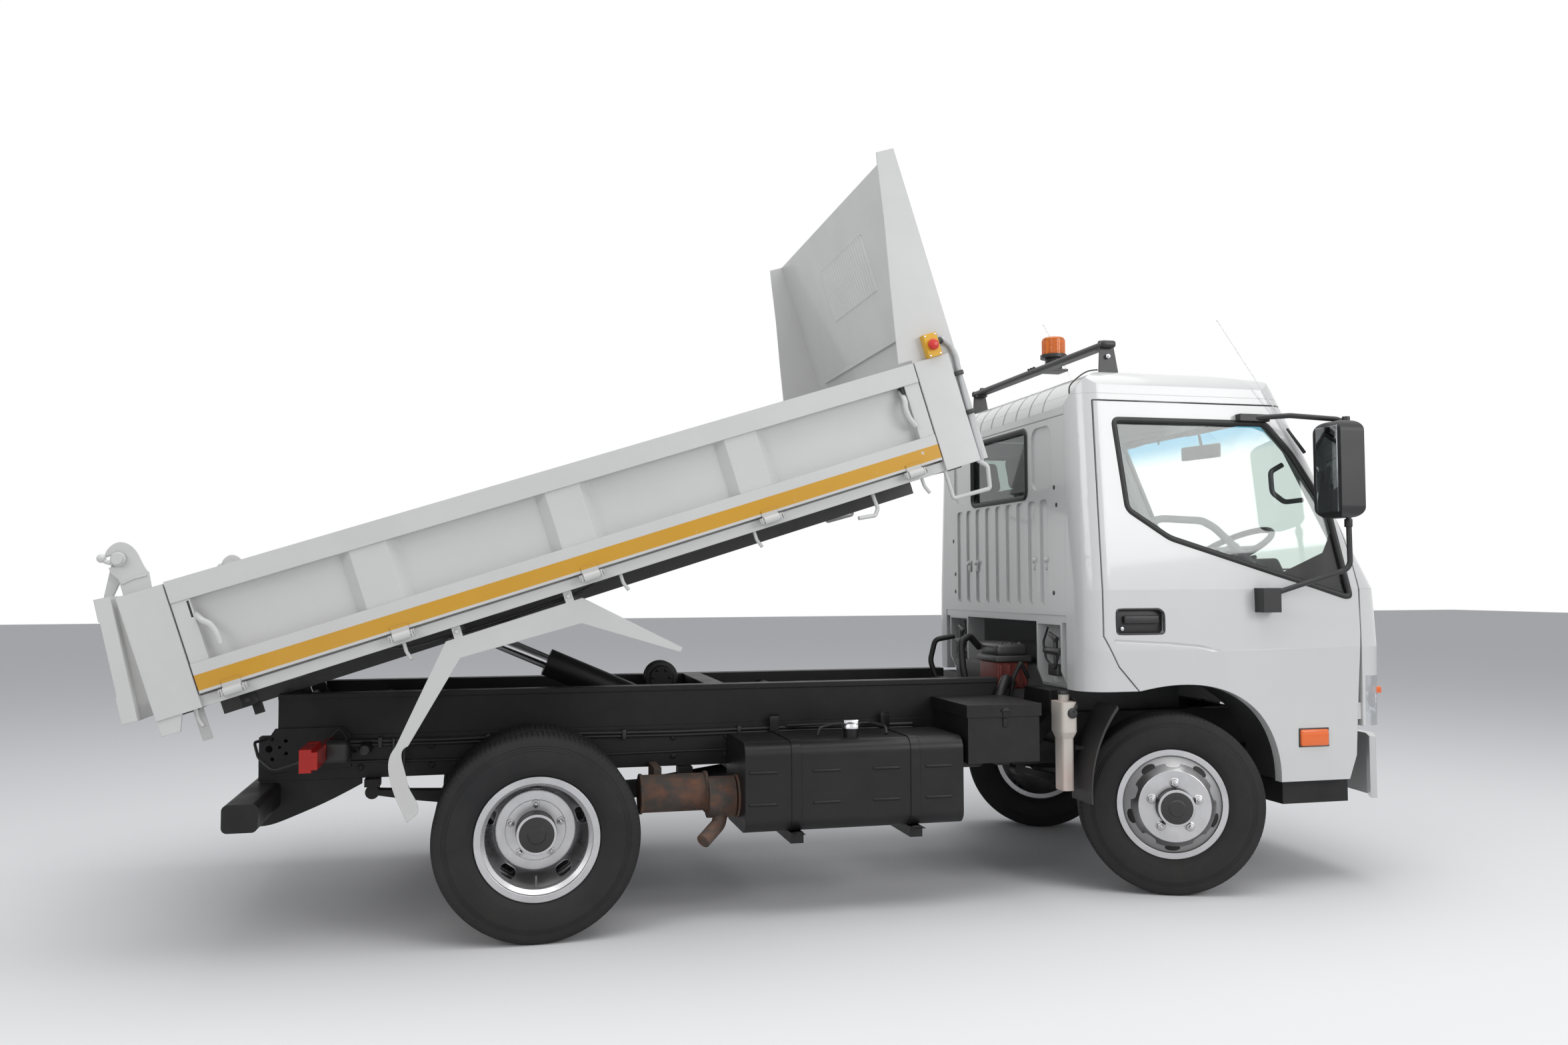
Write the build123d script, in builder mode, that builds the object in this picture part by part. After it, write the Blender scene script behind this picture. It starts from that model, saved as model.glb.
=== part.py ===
"""A light two-axle dump truck with a forward-control cab and a raised tipping bed, in millimetres.

+X points forwards, +Y to the truck's left and +Z up. The origin is on the ground, midway along the truck.
"""

import os
from math import cos, radians, sin

from build123d import *

os.makedirs("parts", exist_ok=True)

# Driving dimensions of the rolling chassis
wheelbase = 2616.0
rear_axle_x = -1075.0
front_axle_x = rear_axle_x + wheelbase
tyre_radius = 369.0
tyre_width = 196.0
bead_radius = 206.0
rim_width = 140.0
flange_radius = 222.0
flange_wall = 6.0
well_depth = 16.0
wheel_offset = 117.0
disc_thickness = 10.0
disc_flat_radius = 143.0
hub_bore_radius = 75.0
vent_circle_radius = 171.0
steer_at_rest = -21.0
rail_outer_y = 350.0
front_flange_y = rail_outer_y + 449.0
rear_flange_y = rail_outer_y + 480.0
kingpin_y = rail_outer_y + 250.0
rail_flange = 65.0
rail_bottom_z = 540.0
rail_top_z = 705.0
rail_rear_x = rear_axle_x - 1010.0
rail_front_x = front_axle_x + 815.0
plate = 8.0
running_gap = 0.3
seam_gap = 5.0

# Driving dimensions of the subframe, the bed and its hoist
pivot_x = rear_axle_x - 883.0
pivot_z = 826.0
pivot_pin_radius = 24.0
bed_tilt = 17.6
bed_half_width = 930.0
post_rear_s = -324.0
post_inner_rear_s = -179.0
post_inner_front_s = 2560.0
post_front_s = 2705.0
floor_top = 165.0
rail_bottom_up = 110.0
side_bottom = 155.0
side_top = 540.0
side_wall = 45.0
post_depth = 70.0
headboard_top = 1355.0
headboard_rear_s = 2673.0
headboard_front_s = 2745.0
headboard_half = bed_half_width - 20.0
headboard_sheet = 5.0
wing_foot_up = 552.0
window_half = 330.0
window_ups = (930.0, 1178.0)
blade_count = 20
blade_depth = 24.0
blade_turn = -35.0
ledge_half = 757.0
ledge_ups = (690.0, 708.0)
ledge_depth = 15.0
tailgate_ajar = 5.0
tailgate_pin_s = -287.0
tailgate_pin_up = 655.0
tailgate_pin_radius = 18.0
tailgate_wall = 50.0
beam_y = 230.0
beam_bottom_up = 44.0
subframe_top_z = 865.0
hinge_places = (-71.0, 485.0, 1158.0, 1844.0, 2433.0)
hinge_half = 30.0
hinge_y = bed_half_width + 10.0
hinge_up = 137.0
hoist_foot_x = rear_axle_x + 835.0
hoist_foot_z = 610.0
hoist_eye_s = 670.0
hoist_eye_up = 67.0
eye_pin_radius = 18.0
eye_ear_y = 52.0
eye_ear_thickness = 14.0
guard_inner_y = bed_half_width - 470.0
guard_outer_y = bed_half_width - 30.0
guard_sheet = 4.0

# Driving dimensions of the cab
cab_back_x = front_axle_x - 478.0
cab_nose_x = front_axle_x + 959.0
cab_half_width = 847.0
cab_wall = 45.0
back_flat_half = cab_half_width - 172.0
back_wall_bottom_z = 1138.0
roof_split_z = 2052.0
cab_roof_z = 2150.0
belt_z = 1245.0
panel_bottom_z = 667.0
lamp_top_z = 877.0
windscreen_bottom_z = 1275.0
windscreen_top_z = 2015.0
door_inboard_y = cab_half_width - 132.0
screen_low_half = cab_half_width - 142.0
screen_top_half = cab_half_width - 207.0
door_gap = 6.0
skirt_bottom_z = 837.0
door_bottom_z = 447.0
glass_thickness = 5.0
tilt_axis_x = cab_nose_x - 56.5 - 0.05 * rail_outer_y
tilt_axis_z = 675.0
tilt_pin_radius = 11.0

right = -1
left = 1
sides = {"right": right, "left": left}

front_rim_y = front_flange_y - rim_width / 2 - flange_wall
outer_rim_y = rear_flange_y - rim_width / 2 - flange_wall
inner_rim_y = outer_rim_y - 2 * wheel_offset
axle_z = tyre_radius
tilt_cos = cos(radians(bed_tilt))
tilt_sin = sin(radians(bed_tilt))

# The bed's own frame has its origin at the pivot, x forwards along the floor and z square to the floor.
bed_frame = Plane(origin=(pivot_x, 0, pivot_z), x_dir=(tilt_cos, 0, tilt_sin), z_dir=(-tilt_sin, 0, tilt_cos))
bed_side = Plane(origin=(pivot_x, 0, pivot_z), x_dir=(tilt_cos, 0, tilt_sin), z_dir=(0, -1, 0))


def save(builder, name):
    """Label a finished piece and write it to its own file."""
    builder.part.label = name
    export_step(builder.part, f"parts/{name}.step")


def block(x, y, z, mode=Mode.ADD):
    """A box between two values on each axis of the open builder's frame."""
    with Locations(((x[0] + x[1]) / 2, (y[0] + y[1]) / 2, (z[0] + z[1]) / 2)):
        Box(x[1] - x[0], y[1] - y[0], z[1] - z[0], mode=mode)


def rod(x, z, y, radius, mode=Mode.ADD):
    """A round bar along Y between two values, centred on x and z."""
    with Locations(Location((x, (y[0] + y[1]) / 2, z), (90, 0, 0))):
        Cylinder(radius, y[1] - y[0], mode=mode)


def span(side, near, far):
    """The two Y values of a stretch that lies between near and far on one side, lowest first."""
    return (near, far) if side > 0 else (-far, -near)


end_plate_top_z = 737.0
end_plate_holes = [(48, 698, 7), (37, 661, 13), (96, 690, 7), (74, 666, 6), (97, 643, 7), (49, 623, 7)]

# Chassis frame: two channel rails with five crossmembers
crossmember_xs = [rear_axle_x + d for d in (-960.0, -520.0, 300.0, 1150.0)] + [rail_front_x - 60.0]
with BuildPart() as chassis_frame:
    for side in sides.values():
        outer = span(side, rail_outer_y - rail_flange, rail_outer_y)
        hollow = span(side, rail_outer_y - rail_flange - 1, rail_outer_y - plate)
        block((rail_rear_x, rail_front_x), outer, (rail_bottom_z, rail_top_z))
        block(
            (rail_rear_x - 1, rail_front_x + 1),
            hollow,
            (rail_bottom_z + plate, rail_top_z - plate),
            mode=Mode.SUBTRACT,
        )
    for x in crossmember_xs:
        inner = rail_outer_y - plate
        block((x - 40, x + 40), (-inner, inner), (rail_bottom_z + 30, rail_bottom_z + 38))
        block((x - 40, x - 32), (-inner, inner), (rail_bottom_z + 30, rail_top_z - 30))
    for side in sides.values():
        block(
            (tilt_axis_x - 90, tilt_axis_x),
            span(side, rail_outer_y - 20, rail_outer_y - plate),
            (rail_bottom_z + 60, tilt_axis_z + tilt_pin_radius),
        )
        rod(tilt_axis_x, tilt_axis_z, span(side, rail_outer_y - 20, rail_outer_y + 30), tilt_pin_radius)
    # Low crossmember with the ears that hold the hoist's foot pin
    block((hoist_foot_x - 40, hoist_foot_x + 40), (-rail_outer_y, rail_outer_y), (rail_bottom_z - 35, rail_bottom_z))
    for side in sides.values():
        block(
            (hoist_foot_x - 40, hoist_foot_x + 40),
            span(side, 62, 76),
            (rail_bottom_z - 10, hoist_foot_z + 35),
        )
    rod(hoist_foot_x, hoist_foot_z, (-76, 76), 20.0)
    # Chamfered plates with six bolt holes on the outside of the rail ends
    for side in sides.values():
        with BuildSketch(Plane.XZ.offset(-side * (rail_outer_y + plate / 2))):
            with BuildLine():
                Polyline(
                    (rail_rear_x + 1, 594),
                    (rail_rear_x + 1, 647),
                    (rail_rear_x + 58, end_plate_top_z),
                    (rail_rear_x + 300, end_plate_top_z),
                    (rail_rear_x + 330, rail_top_z),
                    (rail_rear_x + 330, rail_bottom_z + 45),
                    (rail_rear_x + 45, rail_bottom_z + 30),
                    close=True,
                )
            make_face()
        extrude(amount=plate / 2, both=True)
        for dx, z, hole_radius in end_plate_holes:
            rod(
                rail_rear_x + dx,
                z,
                span(side, rail_outer_y - plate - 1, rail_outer_y + plate + 1),
                hole_radius,
                mode=Mode.SUBTRACT,
            )
save(chassis_frame, "chassis_frame")

# Subframe: two beams on the rails, cross tubes, and the plates that carry the bed's pivot
subframe_front_x = cab_back_x - 170.0
beam_half = 32.0
with BuildPart() as subframe:
    for side in sides.values():
        block(
            (pivot_x - 60, subframe_front_x),
            span(side, rail_outer_y - 2 * beam_half, rail_outer_y),
            (rail_top_z, subframe_top_z - 20),
        )
        block(
            (pivot_x - 60, subframe_front_x),
            span(side, rail_outer_y - 2 * beam_half, rail_outer_y + 10),
            (subframe_top_z - 20, subframe_top_z),
        )
    for x in (pivot_x + 300, rear_axle_x + 1060, subframe_front_x - 40):
        rod(x, subframe_top_z - 65, (-rail_outer_y + 20, rail_outer_y - 20), 30.0)
    block(
        (rear_axle_x + 695, rear_axle_x + 775),
        (-rail_outer_y + 20, rail_outer_y - 20),
        (subframe_top_z - 60, subframe_top_z),
    )
    for side in sides.values():
        with BuildSketch(Plane.XZ.offset(-side * (rail_outer_y - 2 * beam_half - 6))) as pivot_plate:
            with Locations((pivot_x, pivot_z)):
                Circle(46)
            with Locations((pivot_x + 70, rail_top_z + 40)):
                Rectangle(220, 80)
        extrude(amount=12, both=True)
    rod(pivot_x, pivot_z, (-rail_outer_y + 2 * beam_half - 6, rail_outer_y - 2 * beam_half + 6), pivot_pin_radius)
save(subframe, "subframe")

# Axles
with BuildPart() as front_axle:
    block((front_axle_x - 35, front_axle_x + 35), (-520, 520), (axle_z - 75, axle_z - 15))
    for side in sides.values():
        block((front_axle_x - 30, front_axle_x + 30), span(side, 480, kingpin_y), (axle_z - 44, axle_z + 35))
        with Locations((front_axle_x, side * kingpin_y, axle_z)):
            Cylinder(38, 90)
            Cylinder(16, 100, mode=Mode.SUBTRACT)
save(front_axle, "front_axle")

diff_radius = 165.0
with BuildPart() as rear_axle:
    rod(rear_axle_x, axle_z, (-inner_rim_y - 27 + running_gap, inner_rim_y + 27 - running_gap), 52.0)
    with Locations((rear_axle_x, 0, axle_z)):
        Sphere(diff_radius)
    with Locations(Location((rear_axle_x + diff_radius, 0, axle_z), (0, 90, 0))):
        Cylinder(60, 150)
save(rear_axle, "rear_axle")


def leaf_spring(axle_x, seat_z, half_length, eye_rise, side):
    """One leaf pack: a bowed band with round eyes, and the hangers that hold the eyes below the rail."""
    y = side * (rail_outer_y + 10)
    with BuildSketch(Plane.XZ.offset(-y)) as band:
        with BuildLine() as edge:
            low = ThreePointArc(
                (axle_x - half_length, seat_z + eye_rise), (axle_x, seat_z), (axle_x + half_length, seat_z + eye_rise)
            )
            high = ThreePointArc(
                (axle_x - half_length, seat_z + eye_rise + 18),
                (axle_x, seat_z + 60),
                (axle_x + half_length, seat_z + eye_rise + 18),
            )
            Line(low @ 0, high @ 0)
            Line(low @ 1, high @ 1)
        make_face()
        with Locations(
            (axle_x - half_length, seat_z + eye_rise + 9), (axle_x + half_length, seat_z + eye_rise + 9)
        ):
            Circle(26)
    extrude(band.sketch, amount=30, both=True)
    for end in (-1, 1):
        eye_x = axle_x + end * half_length
        block(
            (eye_x - 28, eye_x + 28),
            (y - 40, y + 40),
            (seat_z + eye_rise + 30, rail_bottom_z),
        )


with BuildPart() as leaf_springs:
    for side in sides.values():
        leaf_spring(front_axle_x, axle_z - 15, 560.0, 110.0, side)
        leaf_spring(rear_axle_x, axle_z + 52, 600.0, 60.0, side)
save(leaf_springs, "leaf_springs")

# Engine as one block with its rocker cover, and the shaft to the rear axle
engine_top_z = 1000.0
with BuildPart() as engine:
    block((front_axle_x - 600, front_axle_x + 300), (-240, 240), (470, engine_top_z - 90))
    block((front_axle_x - 560, front_axle_x + 260), (-120, 150), (engine_top_z - 90, engine_top_z))
    with Locations(Location((front_axle_x - 800, 0, 560), (0, 90, 0))):
        Cylinder(130, 400)
    web_y = rail_outer_y - plate
    block((front_axle_x - 100, front_axle_x), (-web_y, web_y), (rail_bottom_z + 50, rail_bottom_z + 90))
save(engine, "engine")

shaft_front = Vector(front_axle_x - 1000, 0, 560)
shaft_rear = Vector(rear_axle_x + diff_radius + 75, 0, axle_z)
with BuildPart() as drive_shaft:
    shaft_line = shaft_rear - shaft_front
    with BuildSketch(Plane(origin=shaft_front, z_dir=shaft_line)):
        Circle(38)
    extrude(amount=shaft_line.length)
    add(engine.part, mode=Mode.SUBTRACT)
    add(rear_axle.part, mode=Mode.SUBTRACT)
save(drive_shaft, "drive_shaft")

# Fuel tank with its two straps and brackets
tank_rear_x = rear_axle_x + 770.0
tank_front_x = rear_axle_x + 1648.0
tank_bottom_z = 330.0
tank_top_z = 672.0
tank_outer_y = 755.0
with BuildPart() as fuel_tank:
    with BuildSketch(Plane.YZ.offset(tank_rear_x)):
        with Locations((-(tank_outer_y + rail_outer_y + 30) / 2, (tank_bottom_z + tank_top_z) / 2)):
            RectangleRounded(tank_outer_y - rail_outer_y - 30, tank_top_z - tank_bottom_z, 50)
    extrude(amount=tank_front_x - tank_rear_x)
    with Locations((rear_axle_x + 1215, -660, tank_top_z + 20)):
        Cylinder(30, 44)
    for x in (tank_rear_x + 200, tank_front_x - 200):
        block((x - 25, x + 25), (-tank_outer_y - 4, -rail_outer_y), (tank_bottom_z - 40, tank_bottom_z))
        block((x - 25, x + 25), (-rail_outer_y - 30, -rail_outer_y), (tank_bottom_z - 40, rail_top_z - 40))
save(fuel_tank, "fuel_tank")

# Battery box ahead of the tank, on the right-hand rail, with an overhanging lid
box_x = (rear_axle_x + 1672, rear_axle_x + 1978)
box_zs = (560.0, 790.0)
lid_depth = 48.0
lid_overhang = 7.0
with BuildPart() as battery_box:
    block(box_x, (-tank_outer_y + lid_overhang, -rail_outer_y), box_zs)
    block(
        (box_x[0] - lid_overhang, box_x[1] + lid_overhang),
        (-tank_outer_y, -rail_outer_y - lid_overhang),
        (box_zs[1] - lid_depth, box_zs[1] + 2),
    )
save(battery_box, "battery_box")

# Exhaust: pipe from the engine, silencer along the right rail, and the turned-down tail
silencer_x = (rear_axle_x + 395, rear_axle_x + 652)
with BuildPart() as exhaust:
    with Locations(Location((sum(silencer_x) / 2, -560, 468), (0, 90, 0))):
        Cylinder(72, silencer_x[1] - silencer_x[0])
    with Locations(Location((silencer_x[1] + 52, -590, 450), (0, 90, 0))):
        Cylinder(79, 106)
    with BuildLine() as tail_path:
        FilletPolyline(
            (silencer_x[1] + 60, -600, 420),
            (silencer_x[1] + 40, -620, 350),
            (silencer_x[1] - 30, -680, 300),
            radius=40,
        )
    with BuildSketch(Plane(origin=tail_path.line @ 0, z_dir=tail_path.line % 0)):
        Circle(28)
    sweep()
    block((silencer_x[0] + 60, silencer_x[0] + 90), (-520, -rail_outer_y), (500, 560))
save(exhaust, "exhaust")

# Rear underrun bar: a box with rounded edges, on plates that sweep up to the rails
underrun_half = 820.0
underrun_rear_x = rear_axle_x - 1046.0
underrun_depth = 116.0
underrun_zs = (440.0, 536.0)
gusset_curve = [(-972, 377), (-897, 401), (-769, 454), (-640, 519)]
with BuildPart() as underrun_bar:
    with BuildSketch(Plane.XZ):
        with Locations((underrun_rear_x + underrun_depth / 2, sum(underrun_zs) / 2)):
            RectangleRounded(underrun_depth, underrun_zs[1] - underrun_zs[0], 20)
    extrude(amount=underrun_half, both=True)
    for side in sides.values():
        with BuildSketch(Plane.XZ.offset(-side * (rail_outer_y - plate))):
            with BuildLine() as gusset:
                low_edge = Spline(
                    (underrun_rear_x + 20, 376), *[(rear_axle_x + dx, z) for dx, z in gusset_curve]
                )
                Polyline(
                    low_edge @ 1,
                    (rear_axle_x - 640, rail_bottom_z),
                    (rail_rear_x + 10, rail_bottom_z),
                    (underrun_rear_x + 20, underrun_zs[1] - 10),
                    low_edge @ 0,
                )
            make_face(gusset.edges())
        extrude(amount=plate, both=True)
save(underrun_bar, "underrun_bar")

# Tail lamps on brackets from the rail ends
with BuildPart() as tail_lamps:
    for side in sides.values():
        block((rear_axle_x - 805, rear_axle_x - 765), span(side, 560, 800), (630, 710))
        block((rear_axle_x - 765, rear_axle_x - 745), span(side, rail_outer_y + plate, 800), (640, 700))
save(tail_lamps, "tail_lamps")

# Front bumper, fixed to the rail ends
bumper_top_z = 622.0
bumper_face_x = front_axle_x + 985.0
with BuildPart() as front_bumper:
    with BuildSketch(Plane.XY.offset(363)):
        with BuildLine():
            face = ThreePointArc(
                (bumper_face_x - 55, -740), (bumper_face_x, 0), (bumper_face_x - 55, 740)
            )
            back = ThreePointArc(
                (bumper_face_x - 90, -735), (bumper_face_x - 35, 0), (bumper_face_x - 90, 735)
            )
            Polyline(face @ 0, (bumper_face_x - 130, -845), (bumper_face_x - 150, -830), back @ 0)
            Polyline(face @ 1, (bumper_face_x - 130, 845), (bumper_face_x - 150, 830), back @ 1)
        make_face()
    extrude(amount=bumper_top_z - 363)
    for side in sides.values():
        block((rail_front_x, bumper_face_x - 36), span(side, rail_outer_y - 70, rail_outer_y - 60), (545, 605))
save(front_bumper, "front_bumper")

# Coolant reservoir behind the right front wheel: a narrow bottle with a wide shoulder and a cap
bottle_centre = (front_axle_x - 495.5, -677.5)
bottle_zs = (430.0, 640.0, 668.0, 790.0, 822.0)
with BuildPart() as coolant_reservoir:
    with BuildSketch(Plane.XY.offset(bottle_zs[0])):
        with Locations(bottle_centre):
            RectangleRounded(50, 84, 14)
    extrude(amount=bottle_zs[2] - bottle_zs[0])
    with BuildSketch(Plane.XY.offset(bottle_zs[2])):
        with Locations(bottle_centre):
            RectangleRounded(69, 115, 18)
    extrude(amount=bottle_zs[3] - bottle_zs[2])
    with BuildSketch(Plane.XY.offset(bottle_zs[1])):
        with Locations(bottle_centre):
            RectangleRounded(50, 84, 14)
    with BuildSketch(Plane.XY.offset(bottle_zs[2])):
        with Locations(bottle_centre):
            RectangleRounded(69, 115, 18)
    loft()
    with Locations((*bottle_centre, (bottle_zs[3] + bottle_zs[4]) / 2)):
        Cylinder(22, bottle_zs[4] - bottle_zs[3])
save(coolant_reservoir, "coolant_reservoir")

# Rubber-topped mounts under the back of the cab
with BuildPart() as cab_rear_mounts:
    for side in sides.values():
        with BuildSketch(Plane.YZ.offset(front_axle_x - 530)):
            with BuildLine():
                Polyline(
                    (side * rail_outer_y, 560),
                    (side * 620, 740),
                    (side * 620, 830),
                    (side * (rail_outer_y + 30), 830),
                    (side * rail_outer_y, 700),
                    close=True,
                )
            make_face()
        extrude(amount=70)
save(cab_rear_mounts, "cab_rear_mounts")

# Rear halves of the front mudguards, fixed to the chassis behind the front wheels
with BuildPart() as front_mudflaps:
    for side in sides.values():
        with BuildSketch(Plane.XZ.offset(-side * (650 if side > 0 else 820))) as flap_profile:
            with BuildLine():
                outer_arc = ThreePointArc(
                    (front_axle_x - 330, 780), (front_axle_x - 425, 600), (front_axle_x - 450, 390)
                )
                inner_arc = ThreePointArc(
                    (front_axle_x - 325, 765), (front_axle_x - 417, 598), (front_axle_x - 442, 390)
                )
                Line(outer_arc @ 0, inner_arc @ 0)
                Line(outer_arc @ 1, inner_arc @ 1)
            make_face()
        extrude(amount=-170)
        block((front_axle_x - 455, front_axle_x - 423), span(side, rail_outer_y, 700), (592, 606))
save(front_mudflaps, "front_mudflaps")


# Wheels
def wheel_profile(disc_side):
    """Half section of a pressed steel wheel: barrel with flanges, and a disc dished to one side."""
    half = rim_width / 2
    barrel_out = bead_radius - 0.5
    barrel_in = barrel_out - flange_wall
    well_out = barrel_out - well_depth
    disc_face = disc_side * (wheel_offset + disc_thickness)
    disc_back = disc_side * wheel_offset
    root = disc_side * (half - 15)
    well_near, well_far = sorted((-disc_side * (half - 30), disc_side * (half - 75)))
    with BuildLine() as barrel:
        Polyline(
            (barrel_in - 2, -half - flange_wall),
            (flange_radius, -half - flange_wall),
            (flange_radius, -half),
            (barrel_out, -half),
            (barrel_out, well_near - 14),
            (well_out, well_near),
            (well_out, well_far),
            (barrel_out, well_far + 14),
            (barrel_out, half),
            (flange_radius, half),
            (flange_radius, half + flange_wall),
            (barrel_in - 2, half + flange_wall),
            (barrel_in, half),
            (barrel_in, well_far + 14),
            (well_out - flange_wall, well_far),
            (well_out - flange_wall, well_near),
            (barrel_in, well_near - 14),
            (barrel_in, -half),
            close=True,
        )
    make_face(barrel.edges())
    with BuildLine() as disc:
        Polyline(
            (hub_bore_radius, disc_back),
            (hub_bore_radius, disc_face),
            (disc_flat_radius, disc_face),
            (barrel_in + 1, root),
            (barrel_in + 1, root - disc_side * disc_thickness * 1.6),
            (disc_flat_radius - 6, disc_back),
            close=True,
        )
    make_face(disc.edges())


wall_height = tyre_radius - flange_radius
tyre_wall = [
    (flange_radius + wall_height * 20 / 147, 9.0),
    (flange_radius + wall_height * 46 / 147, 2.0),
    (flange_radius + wall_height * 71 / 147, 0.0),
    (flange_radius + wall_height * 100 / 147, 2.0),
    (tyre_radius - 22, 9.0),
    (tyre_radius - 6, 16.0),
    (tyre_radius, 26.0),
]


def tyre_profile():
    """Half section of the tyre, bulging past the rim flanges and square-shouldered at the tread."""
    half = tyre_width / 2
    bead = rim_width / 2 - 0.5
    with BuildLine() as outline:
        floor_line = Line((bead_radius, -bead), (bead_radius, bead))
        for sign, start in ((1, floor_line @ 1), (-1, floor_line @ 0)):
            rise = Line(start, (flange_radius + 1, sign * bead))
            Polyline(rise @ 1, *[(radius, sign * (half - inset)) for radius, inset in tyre_wall])
        Line((tyre_radius, -(half - 26)), (tyre_radius, half - 26))
    make_face(outline.edges())


def wheel_plane(x, y, turn):
    """Sketch plane through a wheel's centre: local x is radial and local y points away from the truck's right."""
    return Plane(origin=(x, y, axle_z), x_dir=(cos(radians(turn)), sin(radians(turn)), 0), z_dir=(0, 0, 1))


def wheel_axis(x, y, turn):
    """The line that a wheel turns about."""
    return Axis((x, y, axle_z), (-sin(radians(turn)), cos(radians(turn)), 0))


def steered(side, reach):
    """Where a point on a front spindle lies, at a distance out from the kingpin, with the wheels turned."""
    turn = radians(steer_at_rest)
    return (front_axle_x - side * reach * sin(turn), side * (kingpin_y + reach * cos(turn)))


def make_wheel(name, centres, turn):
    """Rims and tyres of one wheel body; each centre is (x, y, side that the disc is dished to)."""
    with BuildPart() as rim:
        for x, y, disc_side in centres:
            with BuildSketch(wheel_plane(x, y, turn)):
                wheel_profile(disc_side)
            revolve(axis=wheel_axis(x, y, turn))
        for x, y, disc_side in centres:
            hub_plane = Plane(
                origin=(x, y, axle_z),
                x_dir=(cos(radians(turn)), sin(radians(turn)), 0),
                z_dir=(-sin(radians(turn)), cos(radians(turn)), 0),
            )
            with BuildSketch(hub_plane):
                with PolarLocations(vent_circle_radius, 5, start_angle=54):
                    SlotOverall(62, 34, rotation=90)
            extrude(amount=disc_side * 140, mode=Mode.SUBTRACT)
    with BuildPart() as tyre:
        for x, y, disc_side in centres:
            with BuildSketch(wheel_plane(x, y, turn)):
                tyre_profile()
            revolve(axis=wheel_axis(x, y, turn))
    return rim, tyre


def add_hub(x, y, turn, start, stop, radius):
    """A round hub along the wheel's own axis, between two distances from its centre."""
    plane = Plane(
        origin=(x, y, axle_z),
        x_dir=(cos(radians(turn)), sin(radians(turn)), 0),
        z_dir=(-sin(radians(turn)), cos(radians(turn)), 0),
    )
    with BuildSketch(plane.offset(start)) as end_face:
        Circle(radius)
    extrude(end_face.sketch, amount=stop - start)


for name, side in sides.items():
    reach = front_rim_y - kingpin_y
    x, y = steered(side, reach)
    rim, tyre = make_wheel(name, [(x, y, side)], steer_at_rest)
    with BuildPart() as front_rim:
        add(rim.part)
        add_hub(x, y, steer_at_rest, side * -40, side * wheel_offset, 110)
        add_hub(x, y, steer_at_rest, side * wheel_offset, side * (wheel_offset + 55), hub_bore_radius - 2)
    save(front_rim, f"front_rim_{name}")
    save(tyre, f"front_tyre_{name}")

    with BuildPart() as knuckle:
        for up in (-1, 1):
            with Locations((front_axle_x, side * kingpin_y, axle_z + up * 62)):
                Cylinder(36, 30)
        with Locations((front_axle_x, side * kingpin_y, axle_z)):
            Cylinder(15.7, 154)
        start_x, start_y = steered(side, 44)
        arm_x, arm_y = steered(side, 22)
        for up in (-1, 1):
            with Locations(Location((arm_x, arm_y, axle_z + up * 62), (0, 0, steer_at_rest))):
                Box(60, 48, 30)
        add_hub(start_x, start_y, steer_at_rest, 0, side * 16, 76)
        add_hub(start_x, start_y, steer_at_rest, 0, side * (reach - 44 - 40 - running_gap), 40)
    save(knuckle, f"knuckle_{name}")

    rear_centres = [(rear_axle_x, side * outer_rim_y, -side), (rear_axle_x, side * inner_rim_y, side)]
    rim, tyre = make_wheel(name, rear_centres, 0)
    with BuildPart() as rear_rim:
        add(rim.part)
        disc_y = outer_rim_y - wheel_offset
        add_hub(rear_axle_x, side * disc_y, 0, side * -90, side * 15, 110)
        add_hub(rear_axle_x, side * disc_y, 0, side * 15, side * 110, hub_bore_radius - 2)
    save(rear_rim, f"rear_rims_{name}")
    save(tyre, f"rear_tyres_{name}")


# Cab envelope
def cab_point(dx, z):
    """A point of the cab's side outline, dx ahead of the front axle."""
    return (front_axle_x + dx, z)


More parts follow.
